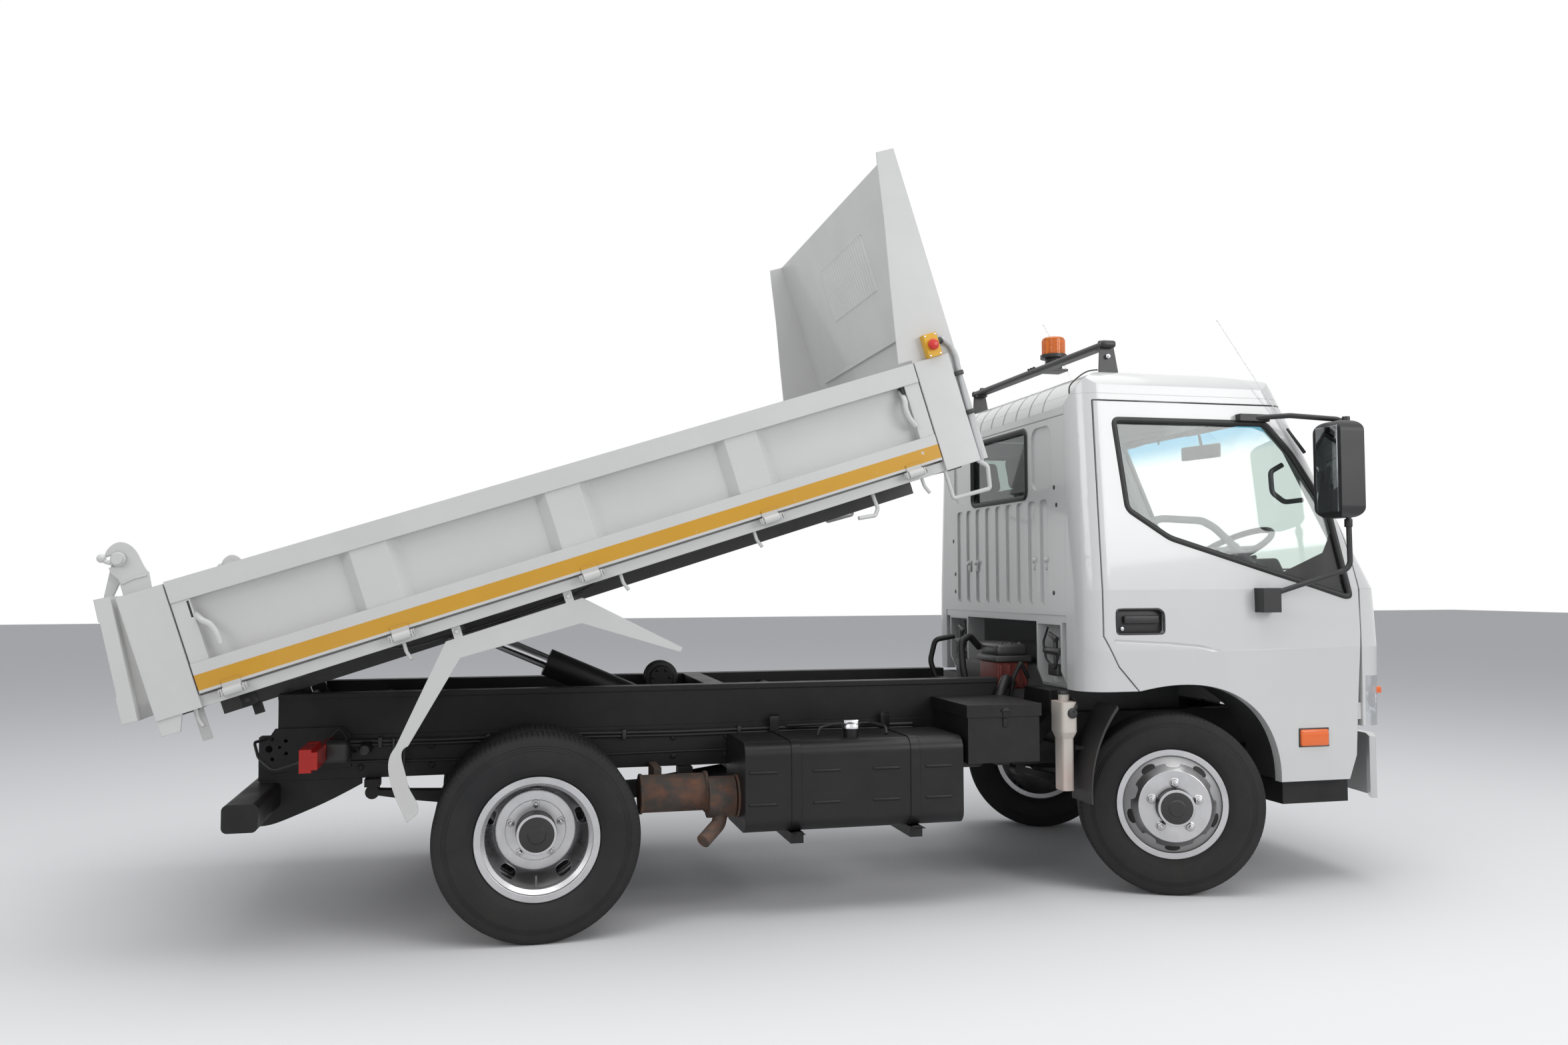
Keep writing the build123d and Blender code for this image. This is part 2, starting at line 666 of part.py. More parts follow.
def cab_envelope(inset):
    """The cab's outer form, or the same form drawn in by a wall's thickness."""
    levels = [
        (door_bottom_z - 40, cab_nose_x - 8, cab_half_width - 8),
        (1000.0, cab_nose_x, cab_half_width),
        (belt_z, cab_nose_x - 15, cab_half_width - 6),
        (2250.0, cab_nose_x - 515, cab_half_width - 90),
    ]
    front_bow = 42.0
    with BuildPart() as envelope:
        for z, nose, half in levels:
            with BuildSketch(Plane.XY.offset(z)) as plan:
                with BuildLine():
                    bow = ThreePointArc(
                        (nose - front_bow - inset, half - inset),
                        (nose - inset, 0),
                        (nose - front_bow - inset, -half + inset),
                    )
                    Polyline(
                        bow @ 1,
                        (cab_back_x + inset, -half + inset),
                        (cab_back_x + inset, half - inset),
                        bow @ 0,
                    )
                make_face()
                fillet(plan.vertices().group_by(Axis.X)[0], 115 - inset)
                fillet(plan.vertices().group_by(Axis.X)[-1], 105 - inset)
        loft(ruled=True)
        with BuildSketch(Plane.XZ) as side_view:
            with BuildLine():
                Polyline(
                    (cab_back_x - 1, door_bottom_z - 60),
                    (cab_back_x - 1, cab_roof_z),
                    (front_axle_x + 150, cab_roof_z + 4),
                    (front_axle_x + 420, cab_roof_z - 20),
                    (front_axle_x + 590, cab_roof_z - 105),
                    (cab_nose_x + 100, cab_roof_z - 480),
                    (cab_nose_x + 100, door_bottom_z - 60),
                    close=True,
                )
            make_face()
            offset(amount=-inset)
            rear_corner = side_view.vertices().group_by(Axis.X)[0].sort_by(Axis.Y)[-1]
            fillet(rear_corner, 160 - inset)
            roof_bends = side_view.vertices().filter_by_position(
                Axis.X, front_axle_x + 300, front_axle_x + 620
            )
            fillet(roof_bends, 120)
        extrude(amount=1200, both=True, mode=Mode.INTERSECT)
        with BuildSketch(Plane.YZ) as end_view:
            with BuildLine():
                Polyline(
                    (-cab_half_width - 60, door_bottom_z - 60),
                    (-cab_half_width - 60, belt_z),
                    (-cab_half_width + 84, cab_roof_z + 8),
                    (cab_half_width - 84, cab_roof_z + 8),
                    (cab_half_width + 60, belt_z),
                    (cab_half_width + 60, door_bottom_z - 60),
                    close=True,
                )
            make_face()
            offset(amount=-inset)
            fillet(end_view.vertices().group_by(Axis.Y)[-1], 110 - inset)
        extrude(amount=4000, both=True, mode=Mode.INTERSECT)
    return envelope.part


cab_outer = cab_envelope(0)
cab_inner = cab_envelope(cab_wall)
with BuildPart() as cab_shell:
    add(cab_outer)
    add(cab_inner, mode=Mode.SUBTRACT)
    # The wall is open below: nothing but the walls is left under the inner form.
    block(
        (cab_back_x + cab_wall, cab_nose_x - cab_wall - 60),
        (-cab_half_width + cab_wall + 10, cab_half_width - cab_wall - 10),
        (door_bottom_z - 70, door_bottom_z + 10),
        mode=Mode.SUBTRACT,
    )

# Grooves pressed into the wall: along the roof and down its rear edge, and a crease along each side
roof_groove_places = [side * (69.0 + 138.0 * k) for side in (-1, 1) for k in range(4)]
roof_groove_width = 14.0
roof_groove_depth = 5.0
seam_z = 1974.0
with BuildPart() as roof_slots:
    for y in roof_groove_places:
        block(
            (cab_back_x - 10, front_axle_x + 250),
            (y - roof_groove_width / 2, y + roof_groove_width / 2),
            (seam_z + 32, cab_roof_z + 50),
        )
    block((cab_back_x - 10, cab_back_x + 10), (-back_flat_half, back_flat_half), (seam_z - 3, seam_z + 3))
with BuildPart() as roof_grooves:
    add(cab_outer)
    add(cab_envelope(roof_groove_depth), mode=Mode.SUBTRACT)
    add(roof_slots.part, mode=Mode.INTERSECT)

crease_radius = 9.0
crease_depth = 5.0
crease_line = [(-352, 1038), (-114, 1024), (30, 1010), (139, 991), (344, 925), (552, 820), (763, 694)]


def side_reach(z):
    """How far out the cab's side lies at a height."""
    if z < 1000:
        return cab_half_width - 8 + 8 * (z - door_bottom_z + 40) / (1040 - door_bottom_z)
    return cab_half_width - 6 * (z - 1000) / (belt_z - 1000)


with BuildPart() as side_creases:
    for side in sides.values():
        with BuildLine() as crease_path:
            Polyline(
                *[
                    (front_axle_x + dx, side * (side_reach(z) + crease_radius - crease_depth), z)
                    for dx, z in crease_line
                ]
            )
        with BuildSketch(Plane(origin=crease_path.line @ 0, z_dir=crease_path.line % 0)) as crease_round:
            Circle(crease_radius)
        sweep(crease_round.sketch, path=crease_path.line, transition=Transition.RIGHT)

pocket_depth = 24.0
with BuildPart() as pocket_layer:
    add(cab_outer)
    add(cab_envelope(pocket_depth), mode=Mode.SUBTRACT)

with BuildPart() as wall:
    add(cab_shell.part)
    add(roof_grooves.part, mode=Mode.SUBTRACT)
    add(side_creases.part, mode=Mode.SUBTRACT)
cab_shell = wall

door_outline = [
    cab_point(402, door_bottom_z),
    cab_point(729, door_bottom_z),
    cab_point(764, 546),
    cab_point(770, 675),
    cab_point(792, 1057),
    cab_point(789, belt_z + 5),
    cab_point(714, 1620),
    cab_point(520, 2020),
    cab_point(-394, 2020),
    cab_point(-394, 1060),
    cab_point(-332, 938),
    cab_point(-242, skirt_bottom_z),
]
arch_points = [
    cab_point(-87, 858),
    cab_point(74, 849),
    cab_point(196, 810),
    cab_point(308, 726),
    cab_point(378, 605),
]
door_hinge_x = front_axle_x + 792.0


def door_face(gap):
    """The door's outline in side view, drawn in by a gap, with its wheel arch as a smooth curve."""
    with BuildLine() as outline:
        Polyline(*door_outline)
        Spline(door_outline[-1], *arch_points, door_outline[0])
    make_face(outline.edges())
    if gap:
        offset(amount=gap)


def window_face(gap):
    """The door window's outline in side view, drawn in by a gap."""
    with BuildLine() as outline:
        Polyline(
            cab_point(-308, 1943),
            cab_point(399, 1945),
            cab_point(515, 1817),
            cab_point(679, 1565),
            cab_point(752, 1215),
            cab_point(730, 1210),
            cab_point(393, 1312),
            cab_point(-84, 1456),
            cab_point(-268, 1573),
            close=True,
        )
    make_face(outline.edges())
    if gap:
        offset(amount=gap)




def windscreen_face(gap):
    """The windscreen's outline seen from the front, drawn in by a gap."""
    with BuildLine() as outline:
        Polyline(
            (-screen_low_half, windscreen_bottom_z),
            (screen_low_half, windscreen_bottom_z),
            (screen_top_half, windscreen_top_z),
            (-screen_top_half, windscreen_top_z),
            close=True,
        )
    corners = make_face(outline.edges())
    fillet(corners.vertices(), 60)
    if gap:
        offset(amount=gap)


rear_window_z = 1802.0
rear_window_width = 624.0
rear_window_height = 300.0


def rear_window_face(gap):
    """The rear window's outline, drawn in by a gap."""
    with Locations((0, rear_window_z)):
        RectangleRounded(rear_window_width + 2 * gap, rear_window_height + 2 * gap, 45)


# Pocket behind the door's pull handle
handle_centre = cab_point(-235, 1117)
with BuildPart() as handle_pocket:
    add(pocket_layer.part)
    with BuildSketch(Plane.XZ.offset(door_inboard_y)):
        with Locations(handle_centre):
            RectangleRounded(222, 108, 36)
    extrude(amount=400, mode=Mode.INTERSECT)

# Right door, cut from the cab's wall by its outline; the left one mirrors it
with BuildPart() as right_door:
    add(cab_shell.part)
    with BuildSketch(Plane.XZ.offset(door_inboard_y)):
        door_face(0)
    extrude(amount=400, mode=Mode.INTERSECT)
    with BuildSketch(Plane.XZ.offset(door_inboard_y - 1)):
        window_face(0)
    extrude(amount=400, mode=Mode.SUBTRACT)
    add(handle_pocket.part, mode=Mode.SUBTRACT)
    # The rear edge follows the circle that it swings on.
    with Locations((door_hinge_x, -cab_half_width, belt_z)):
        Cylinder(door_hinge_x - door_outline[-3][0] + 0.5, 2400, mode=Mode.INTERSECT)
    # Hinge leaves on the front edge
    for z in (730, 1130):
        block(
            (door_hinge_x - 30, door_hinge_x + seam_gap - running_gap),
            (-cab_half_width + 12, -cab_half_width + 36),
            (z - 35, z + 35),
        )
save(right_door, "right_door")

glass_outer = cab_envelope(14)
glass_inner = cab_envelope(14 + glass_thickness)
with BuildPart() as cab_glass:
    add(glass_outer)
    add(glass_inner, mode=Mode.SUBTRACT)

with BuildPart() as right_door_glass:
    add(cab_glass.part)
    with BuildSketch(Plane.XZ.offset(door_inboard_y)):
        window_face(-running_gap)
    extrude(amount=400, mode=Mode.INTERSECT)
save(right_door_glass, "right_door_glass")

# Door mirror's head: a soft-cornered case
head_x = (front_axle_x + 538.0, front_axle_x + 649.0)
head_y = (-1075.0, -905.0)
head_z = (1535.0, 1933.0)
with BuildPart() as mirror_head:
    with BuildSketch(Plane.XZ.offset(-head_y[1])):
        with Locations((sum(head_x) / 2, sum(head_z) / 2)):
            RectangleRounded(head_x[1] - head_x[0], head_z[1] - head_z[0], 38)
    extrude(amount=head_y[1] - head_y[0])
    with BuildSketch(Plane.YZ.offset(head_x[0] - 1)):
        with Locations((sum(head_y) / 2, sum(head_z) / 2)):
            RectangleRounded(head_y[1] - head_y[0], head_z[1] - head_z[0], 48)
    extrude(amount=head_x[1] - head_x[0] + 2, mode=Mode.INTERSECT)

# Door mirror on a bent tube with an upper and a lower foot
with BuildPart() as right_mirror:
    with BuildLine() as tube_path:
        FilletPolyline(
            (front_axle_x + 330, -800, 1965),
            (front_axle_x + 450, -880, 1968),
            (front_axle_x + 652, -960, 1945),
            (front_axle_x + 656, -965, 1330),
            (front_axle_x + 345, -885, 1225),
            radius=45,
        )
    with BuildSketch(Plane(origin=tube_path.line @ 0, z_dir=tube_path.line % 0)):
        Circle(11)
    sweep()
    add(mirror_head.part)
    block((front_axle_x + 290, front_axle_x + 372), (-905, -cab_half_width + 8), (1150, 1250))
    block((front_axle_x + 260, front_axle_x + 400), (-815, -765), (1950, 1980))
    add(cab_outer, mode=Mode.SUBTRACT)
save(right_mirror, "right_mirror")

for piece in ("door", "door_glass", "mirror"):
    source = {"door": right_door, "door_glass": right_door_glass, "mirror": right_mirror}[piece]
    with BuildPart() as left_piece:
        add(mirror(source.part, about=Plane.XZ, mode=Mode.PRIVATE))
    save(left_piece, f"left_{piece}")

# Cab panels: each is the part of the wall between its real joints
nose_cut_x = front_axle_x + 792 + seam_gap
with BuildPart() as roof_region:
    block((cab_back_x - 10, cab_nose_x + 10), (-1000, 1000), (roof_split_z, cab_roof_z + 50))
    block(
        (front_axle_x + 300, cab_nose_x + 10),
        (-screen_top_half, screen_top_half),
        (windscreen_top_z, roof_split_z),
    )

with BuildPart() as cab_roof:
    add(cab_shell.part)
    add(roof_region.part, mode=Mode.INTERSECT)
save(cab_roof, "cab_roof")

rib_pitch = 119.0
rib_zs = (1180.0, 1632.0)
pressed_depth = 8.0
with BuildPart() as cab_back_wall:
    add(cab_shell.part)
    block(
        (cab_back_x - 10, cab_back_x + 200),
        (-back_flat_half, back_flat_half),
        (back_wall_bottom_z, roof_split_z),
        mode=Mode.INTERSECT,
    )
    with BuildSketch(Plane.YZ.offset(cab_back_x - 20)):
        rear_window_face(0)
    extrude(amount=100, mode=Mode.SUBTRACT)
    # Nine pressed grooves below the window leave eight ribs; a flat pocket lies on each side of it.
    with BuildSketch(Plane.YZ.offset(cab_back_x - 20)):
        with Locations(*[(k * rib_pitch, sum(rib_zs) / 2) for k in range(-4, 5)]):
            RectangleRounded(rib_pitch - 45, rib_zs[1] - rib_zs[0], 22)
        with Locations(*[(side * 458, rear_window_z + 10) for side in (-1, 1)]):
            RectangleRounded(190, 270, 48)
    extrude(amount=20 + pressed_depth, mode=Mode.SUBTRACT)
save(cab_back_wall, "cab_back_wall")

with BuildPart() as rear_window:
    with BuildSketch(Plane.YZ.offset(cab_back_x + 14)):
        rear_window_face(-running_gap)
    extrude(amount=glass_thickness)
save(rear_window, "rear_window")

with BuildPart() as cab_side_frames:
    add(cab_shell.part)
    block((cab_back_x - 10, cab_nose_x + 10), (-1000, 1000), (skirt_bottom_z, roof_split_z), mode=Mode.INTERSECT)
    block((cab_back_x - 20, cab_back_x + 200), (-back_flat_half, back_flat_half), (700, 2200), mode=Mode.SUBTRACT)
    block((front_axle_x + 750, cab_nose_x + 20), (-1000, 1000), (700, belt_z), mode=Mode.SUBTRACT)
    block((front_axle_x - 250, front_axle_x + 500), (-1000, 1000), (skirt_bottom_z - 10, 900), mode=Mode.SUBTRACT)
    with BuildSketch(Plane.YZ.offset(front_axle_x + 300)):
        windscreen_face(0)
    extrude(amount=1000, mode=Mode.SUBTRACT)
    block(
        (front_axle_x + 300, cab_nose_x + 20),
        (-screen_top_half, screen_top_half),
        (windscreen_top_z - 70, roof_split_z + 10),
        mode=Mode.SUBTRACT,
    )
    block(
        (front_axle_x + 300, cab_nose_x + 20),
        (-screen_low_half, screen_low_half),
        (belt_z - 10, windscreen_bottom_z + 70),
        mode=Mode.SUBTRACT,
    )
    for side in sides.values():
        with BuildSketch(Plane.XZ.offset(-side * (door_inboard_y - door_gap))) as door_hole:
            door_face(door_gap)
        extrude(amount=-side * 500, mode=Mode.SUBTRACT)
save(cab_side_frames, "cab_side_frames")



def lamp_box(side):
    """The corner of the nose that a headlamp fills, as three pairs of limits."""
    return (front_axle_x + 812, cab_nose_x + 20), span(side, 560, 900), (panel_bottom_z - 1, lamp_top_z)


with BuildPart() as panel_region:
    block((nose_cut_x, cab_nose_x + 20), (-1000, 1000), (panel_bottom_z, belt_z))
    block((nose_cut_x, cab_nose_x + 20), (-screen_low_half, screen_low_half), (belt_z, windscreen_bottom_z))

# Three long slots between the headlamps
with BuildPart() as grille_pocket:
    add(pocket_layer.part)
    with BuildSketch(Plane.YZ.offset(front_axle_x + 700)):
        with Locations(*[(0, lamp_top_z - 45 - 48 * k) for k in range(3)]):
            SlotOverall(900 - 2 * 60, 26)
    extrude(amount=400, mode=Mode.INTERSECT)

with BuildPart() as cab_front_panel:
    add(cab_shell.part)
    add(panel_region.part, mode=Mode.INTERSECT)
    for side in sides.values():
        block(*lamp_box(side), mode=Mode.SUBTRACT)
    add(grille_pocket.part, mode=Mode.SUBTRACT)
save(cab_front_panel, "cab_front_panel")

with BuildPart() as windscreen:
    add(cab_glass.part)
    with BuildSketch(Plane.YZ.offset(front_axle_x + 300)):
        windscreen_face(-running_gap)
    extrude(amount=1000, mode=Mode.INTERSECT)
save(windscreen, "windscreen")

# Cab floor: seat platform over the engine, step down to the footwell, and the front wall
floor_half = cab_half_width - cab_wall - 12
footwell_z = 760.0
platform_z = back_wall_bottom_z
hanger_ys = (390.0, 630.0)
with BuildPart() as cab_floor:
    with BuildSketch(Plane.XZ):
        with BuildLine():
            Polyline(
                (cab_back_x + 2, platform_z - 30),
                (front_axle_x + 420, platform_z - 30),
                (front_axle_x + 420, footwell_z - 25),
                (cab_nose_x - 150, footwell_z - 25),
                (cab_nose_x - 115, footwell_z + 30),
                (cab_nose_x - 115, belt_z - 40),
                (cab_nose_x - 145, belt_z - 40),
                (cab_nose_x - 145, footwell_z + 40),
                (cab_nose_x - 165, footwell_z),
                (front_axle_x + 450, footwell_z),
                (front_axle_x + 450, platform_z),
                (cab_back_x + 2, platform_z),
                close=True,
            )
        make_face()
    extrude(amount=back_flat_half, both=True)
    for side in sides.values():
        block(
            (cab_back_x + 140, front_axle_x + 450),
            span(side, back_flat_half - 1, floor_half),
            (platform_z - 30, platform_z),
        )
        block(
            (front_axle_x + 420, cab_nose_x - 200),
            span(side, back_flat_half - 1, floor_half),
            (footwell_z - 25, footwell_z),
        )
        # Hanger under the back of the cab: a channel, open to the rear, that narrows downwards
        near, far = sorted((-side * hanger_ys[0], -side * hanger_ys[1]))
        with BuildSketch(Plane.XZ.offset(near)) as hanger_side:
            with BuildLine():
                Polyline(
                    (cab_back_x + 2, platform_z - 28),
                    (cab_back_x + 2, 905),
                    (cab_back_x + 30, 835),
                    (cab_back_x + 78, 835),
                    (cab_back_x + 90, 870),
                    (cab_back_x + 90, platform_z - 28),
                    close=True,
                )
            make_face()
        extrude(amount=far - near)
        block(
            (cab_back_x - 1, cab_back_x + 76),
            span(side, hanger_ys[0] + 12, hanger_ys[1] - 12),
            (849, platform_z - 40),
            mode=Mode.SUBTRACT,
        )
        block(
            (tilt_axis_x - 60, tilt_axis_x + 14),
            span(side, rail_outer_y, rail_outer_y + 22),
            (tilt_axis_z - 16, footwell_z + 60),
        )
        rod(
            tilt_axis_x,
            tilt_axis_z,
            span(side, rail_outer_y - 5, rail_outer_y + 40),
            tilt_pin_radius + running_gap,
            mode=Mode.SUBTRACT,
        )
save(cab_floor, "cab_floor")

steer_wheel_centre = Vector(front_axle_x + 470, -400, 1420)
column_lean = 62.0
column_dir = Vector(cos(radians(column_lean)), 0, -sin(radians(column_lean)))
column_length = 260.0
with BuildPart() as dashboard:
    with BuildSketch(Plane.XZ):
        with BuildLine():
            Polyline(
                (cab_nose_x - 145, belt_z - 250),
                (cab_nose_x - 145, belt_z - 15),
                (cab_nose_x - 180, belt_z + 15),
                (front_axle_x + 590, belt_z + 35),
                (front_axle_x + 530, belt_z - 60),
                (front_axle_x + 600, belt_z - 250),
                close=True,
            )
        make_face()
    extrude(amount=floor_half - 100, both=True)
    with BuildSketch(Plane(origin=steer_wheel_centre, x_dir=(0, 1, 0), z_dir=column_dir)):
        Circle(20 + running_gap)
    extrude(amount=column_length + 5, mode=Mode.SUBTRACT)
save(dashboard, "dashboard")

# Seats: a driver's seat and a double passenger seat
with BuildPart() as seats:
    for y in ((-650, -180), (-130, 650)):
        block((cab_back_x + 110, front_axle_x + 330), y, (platform_z, platform_z + 140))
        with BuildSketch(Plane.XZ.offset(-y[1])):
            with BuildLine():
                Polyline(
                    (cab_back_x + 160, platform_z + 140),
                    (cab_back_x + 290, platform_z + 140),
                    (cab_back_x + 190, platform_z + 640),
                    (cab_back_x + 90, platform_z + 640),
                    close=True,
                )
            make_face()
        extrude(amount=y[1] - y[0])
save(seats, "seats")

# Steering wheel on its shaft, on the driver's side
with BuildPart() as steering_wheel:
    wheel_face = Plane(origin=steer_wheel_centre, x_dir=(0, 1, 0), z_dir=column_dir)
    with BuildSketch(Plane(origin=steer_wheel_centre, x_dir=(0, 1, 0), z_dir=(column_dir.Z, 0, -column_dir.X))):
        with Locations((195, 0)):
            Circle(14)
    revolve(axis=Axis(steer_wheel_centre, column_dir))
    with BuildSketch(wheel_face):
        Circle(48)
        Rectangle(380, 26)
    extrude(amount=10, both=True)
    with BuildSketch(wheel_face):
        Circle(20)
    extrude(amount=column_length)
save(steering_wheel, "steering_wheel")

# Headlamps in the nose corners
with BuildPart() as lamp_region:
    for side in sides.values():
        block(*lamp_box(side))
    block((front_axle_x + 700, cab_nose_x + 30), (-1000, 1000), (panel_bottom_z, lamp_top_z), mode=Mode.INTERSECT)

with BuildPart() as headlamps:
    add(cab_shell.part)
    add(lamp_region.part, mode=Mode.INTERSECT)
save(headlamps, "headlamps")

# Steps below the doors, ahead of the front wheels, on arms from the rails
with BuildPart() as cab_steps:
    for side in sides.values():
        block((front_axle_x + 440, front_axle_x + 755), span(side, 560, 790), (347, 440))
        block((front_axle_x + 600, front_axle_x + 640), span(side, rail_outer_y, 600), (405, 435))
        block((front_axle_x + 600, front_axle_x + 640), span(side, rail_outer_y, rail_outer_y + 12), (405, 620))
save(cab_steps, "cab_steps")

# Roof bar of oval section on two folded feet, with the beacon's bracket and base
bar_x = cab_back_x + 197.0
bar_z = 2272.0
bar_half = 690.0
foot_ys = (640.0, 684.0)
foot_sheet = 6.0
beacon_x = bar_x + 95.0
beacon_zs = (2285.0, 2340.0, 2357.0, 2440.0)
beacon_radius = 53.0
with BuildPart() as roof_rack:
    with BuildSketch(Plane.XZ):
        with Locations((bar_x, bar_z)):
            RectangleRounded(60, 26, 12)
    extrude(amount=bar_half, both=True)
    block((bar_x, beacon_x + 50), (-50, 50), (bar_z + 3, beacon_zs[0]))
    for side in sides.values():
        with BuildSketch(Plane.XZ.offset(-side * (foot_ys[1] - foot_sheet / 2))):
            with BuildLine():
                Polyline(
                    (bar_x - 30, bar_z),
                    (bar_x + 32, bar_z),
                    (bar_x + 62, 2110),
                    (bar_x - 38, 2110),
                    close=True,
                )
            make_face()
        extrude(amount=foot_sheet / 2, both=True)
        block((bar_x - 26, bar_x + 28), span(side, *foot_ys), (bar_z - 20, bar_z - 12))
        block((bar_x - 34, bar_x + 56), span(side, foot_ys[0], foot_ys[1]), (2110, 2136))
    with Locations((beacon_x, 0, (beacon_zs[0] + beacon_zs[1]) / 2)):
        Cylinder(40, beacon_zs[1] - beacon_zs[0])
    with Locations((beacon_x, 0, (beacon_zs[1] + beacon_zs[2]) / 2)):
        Cylinder(beacon_radius + 9, beacon_zs[2] - beacon_zs[1])
    add(cab_outer, mode=Mode.SUBTRACT)
save(roof_rack, "roof_rack")

with BuildPart() as beacon:
    with Locations((beacon_x, 0, (beacon_zs[2] + beacon_zs[3]) / 2)):
        Cylinder(beacon_radius, beacon_zs[3] - beacon_zs[2])
    fillet(beacon.edges().group_by(Axis.Z)[-1], 12)
save(beacon, "beacon")

# Bed floor: plate, edge rails, cross bearers and two long beams, and the lugs of the pivot and the hoist
with BuildPart(bed_frame) as bed_floor:
    post_inner_y = bed_half_width - post_depth
    block(
        (post_rear_s, headboard_front_s - headboard_sheet),
        (-post_inner_y, post_inner_y),
        (floor_top - 6, floor_top),
    )
    block(
        (post_inner_rear_s, post_inner_front_s),
        (-bed_half_width + side_wall + 5, bed_half_width - side_wall - 5),
        (floor_top - 6, floor_top),
    )
    for side in sides.values():
        block(
            (post_inner_rear_s, post_inner_front_s),
            span(side, bed_half_width - 110, bed_half_width - 18),
            (rail_bottom_up, side_bottom - 7),
        )
        block(
            (post_inner_rear_s, post_inner_front_s),
            span(side, bed_half_width - 110, bed_half_width - side_wall - 5),
            (rail_bottom_up, floor_top - 6),
        )
        block((post_rear_s, post_front_s), span(side, post_inner_y - 60, post_inner_y), (rail_bottom_up, floor_top - 6))
        block((post_rear_s + 60, post_front_s - 60), span(side, beam_y - 35, beam_y + 35), (beam_bottom_up, 104))
    for k in range(9):
        s = post_rear_s + 80 + k * (post_front_s - post_rear_s - 160) / 8
        block((s - 25, s + 25), (-post_inner_y, post_inner_y), (104, floor_top - 6))
    for side in sides.values():
        for s in hinge_places:
            for ear_s in (s - hinge_half - 10, s + hinge_half + 2):
                block(
                    (ear_s, ear_s + 8),
                    span(side, bed_half_width - 25, hinge_y + 8),
                    (hinge_up - 12, hinge_up + 12),
                )
            with Locations(Location((s, side * hinge_y, hinge_up), (0, 90, 0))):
                Cylinder(8, 2 * hinge_half + 20)
    # The bearers stop short of the hoist.
    block((560, 1260), (-76, 76), (90, floor_top - 6), mode=Mode.SUBTRACT)
    for side in sides.values():
        block((-50, 50), span(side, beam_y - 35, beam_y - 15), (-50, 60))
        ear_far = eye_ear_y + eye_ear_thickness
        block(
            (hoist_eye_s - 45, hoist_eye_s + 130),
            span(side, eye_ear_y, ear_far),
            (hoist_eye_up - 35, floor_top - 6),
        )
        rod(hoist_eye_s, hoist_eye_up, span(side, ear_far - 1, ear_far + 8), eye_pin_radius + 8)
    rod(0, 0, (-300, 300), pivot_pin_radius + running_gap, mode=Mode.SUBTRACT)
save(bed_floor, "bed_floor")

# Headboard: a sheet with a louvred window and a ledge, between the two front posts
sheet_s = (headboard_front_s - headboard_sheet, headboard_front_s)
with BuildPart(bed_frame) as headboard:
    block(sheet_s, (-headboard_half, headboard_half), (rail_bottom_up, headboard_top))
    block((sheet_s[0] - ledge_depth, sheet_s[1]), (-ledge_half, ledge_half), ledge_ups)
    block((sheet_s[0] - 1, sheet_s[1] + 1), (-window_half, window_half), window_ups, mode=Mode.SUBTRACT)
    blade_pitch = 2 * window_half / blade_count
    for k in range(blade_count):
        blade_y = (k + 0.5) * blade_pitch - window_half
        with Locations(Location((sum(sheet_s) / 2, blade_y, sum(window_ups) / 2), (0, 0, blade_turn))):
            Box(blade_depth, 3, window_ups[1] - window_ups[0] + 2)
    for side in sides.values():
        block(
            (post_inner_front_s, post_front_s),
            span(side, bed_half_width - post_depth, bed_half_width),
            (rail_bottom_up, side_top),
        )
        block(
            (post_front_s - 1, sheet_s[0] + 1),
            span(side, bed_half_width - post_depth, headboard_half),
            (rail_bottom_up, side_top),
        )

# Its wings: upright plates that widen downwards and stand on the front posts
wing_outline = [
    (headboard_front_s, headboard_top),
    (headboard_rear_s, headboard_top),
    (headboard_rear_s - 11, headboard_top - 50),
    (headboard_rear_s - 53, headboard_top - 269),
    (headboard_rear_s - 105, headboard_top - 502),
    (headboard_rear_s - 168, wing_foot_up),
    (post_inner_front_s, wing_foot_up),
    (post_inner_front_s, side_top - 1),
    (headboard_front_s, side_top - 1),
]
for side in sides.values():
    with BuildPart() as wing:
        with BuildSketch(bed_side.offset(-side * (headboard_half - headboard_sheet / 2))):
            with BuildLine():
                Polyline(*wing_outline, close=True)
            make_face()
        extrude(amount=headboard_sheet / 2, both=True)
    headboard.part = headboard.part + wing.part
save(headboard, "headboard")

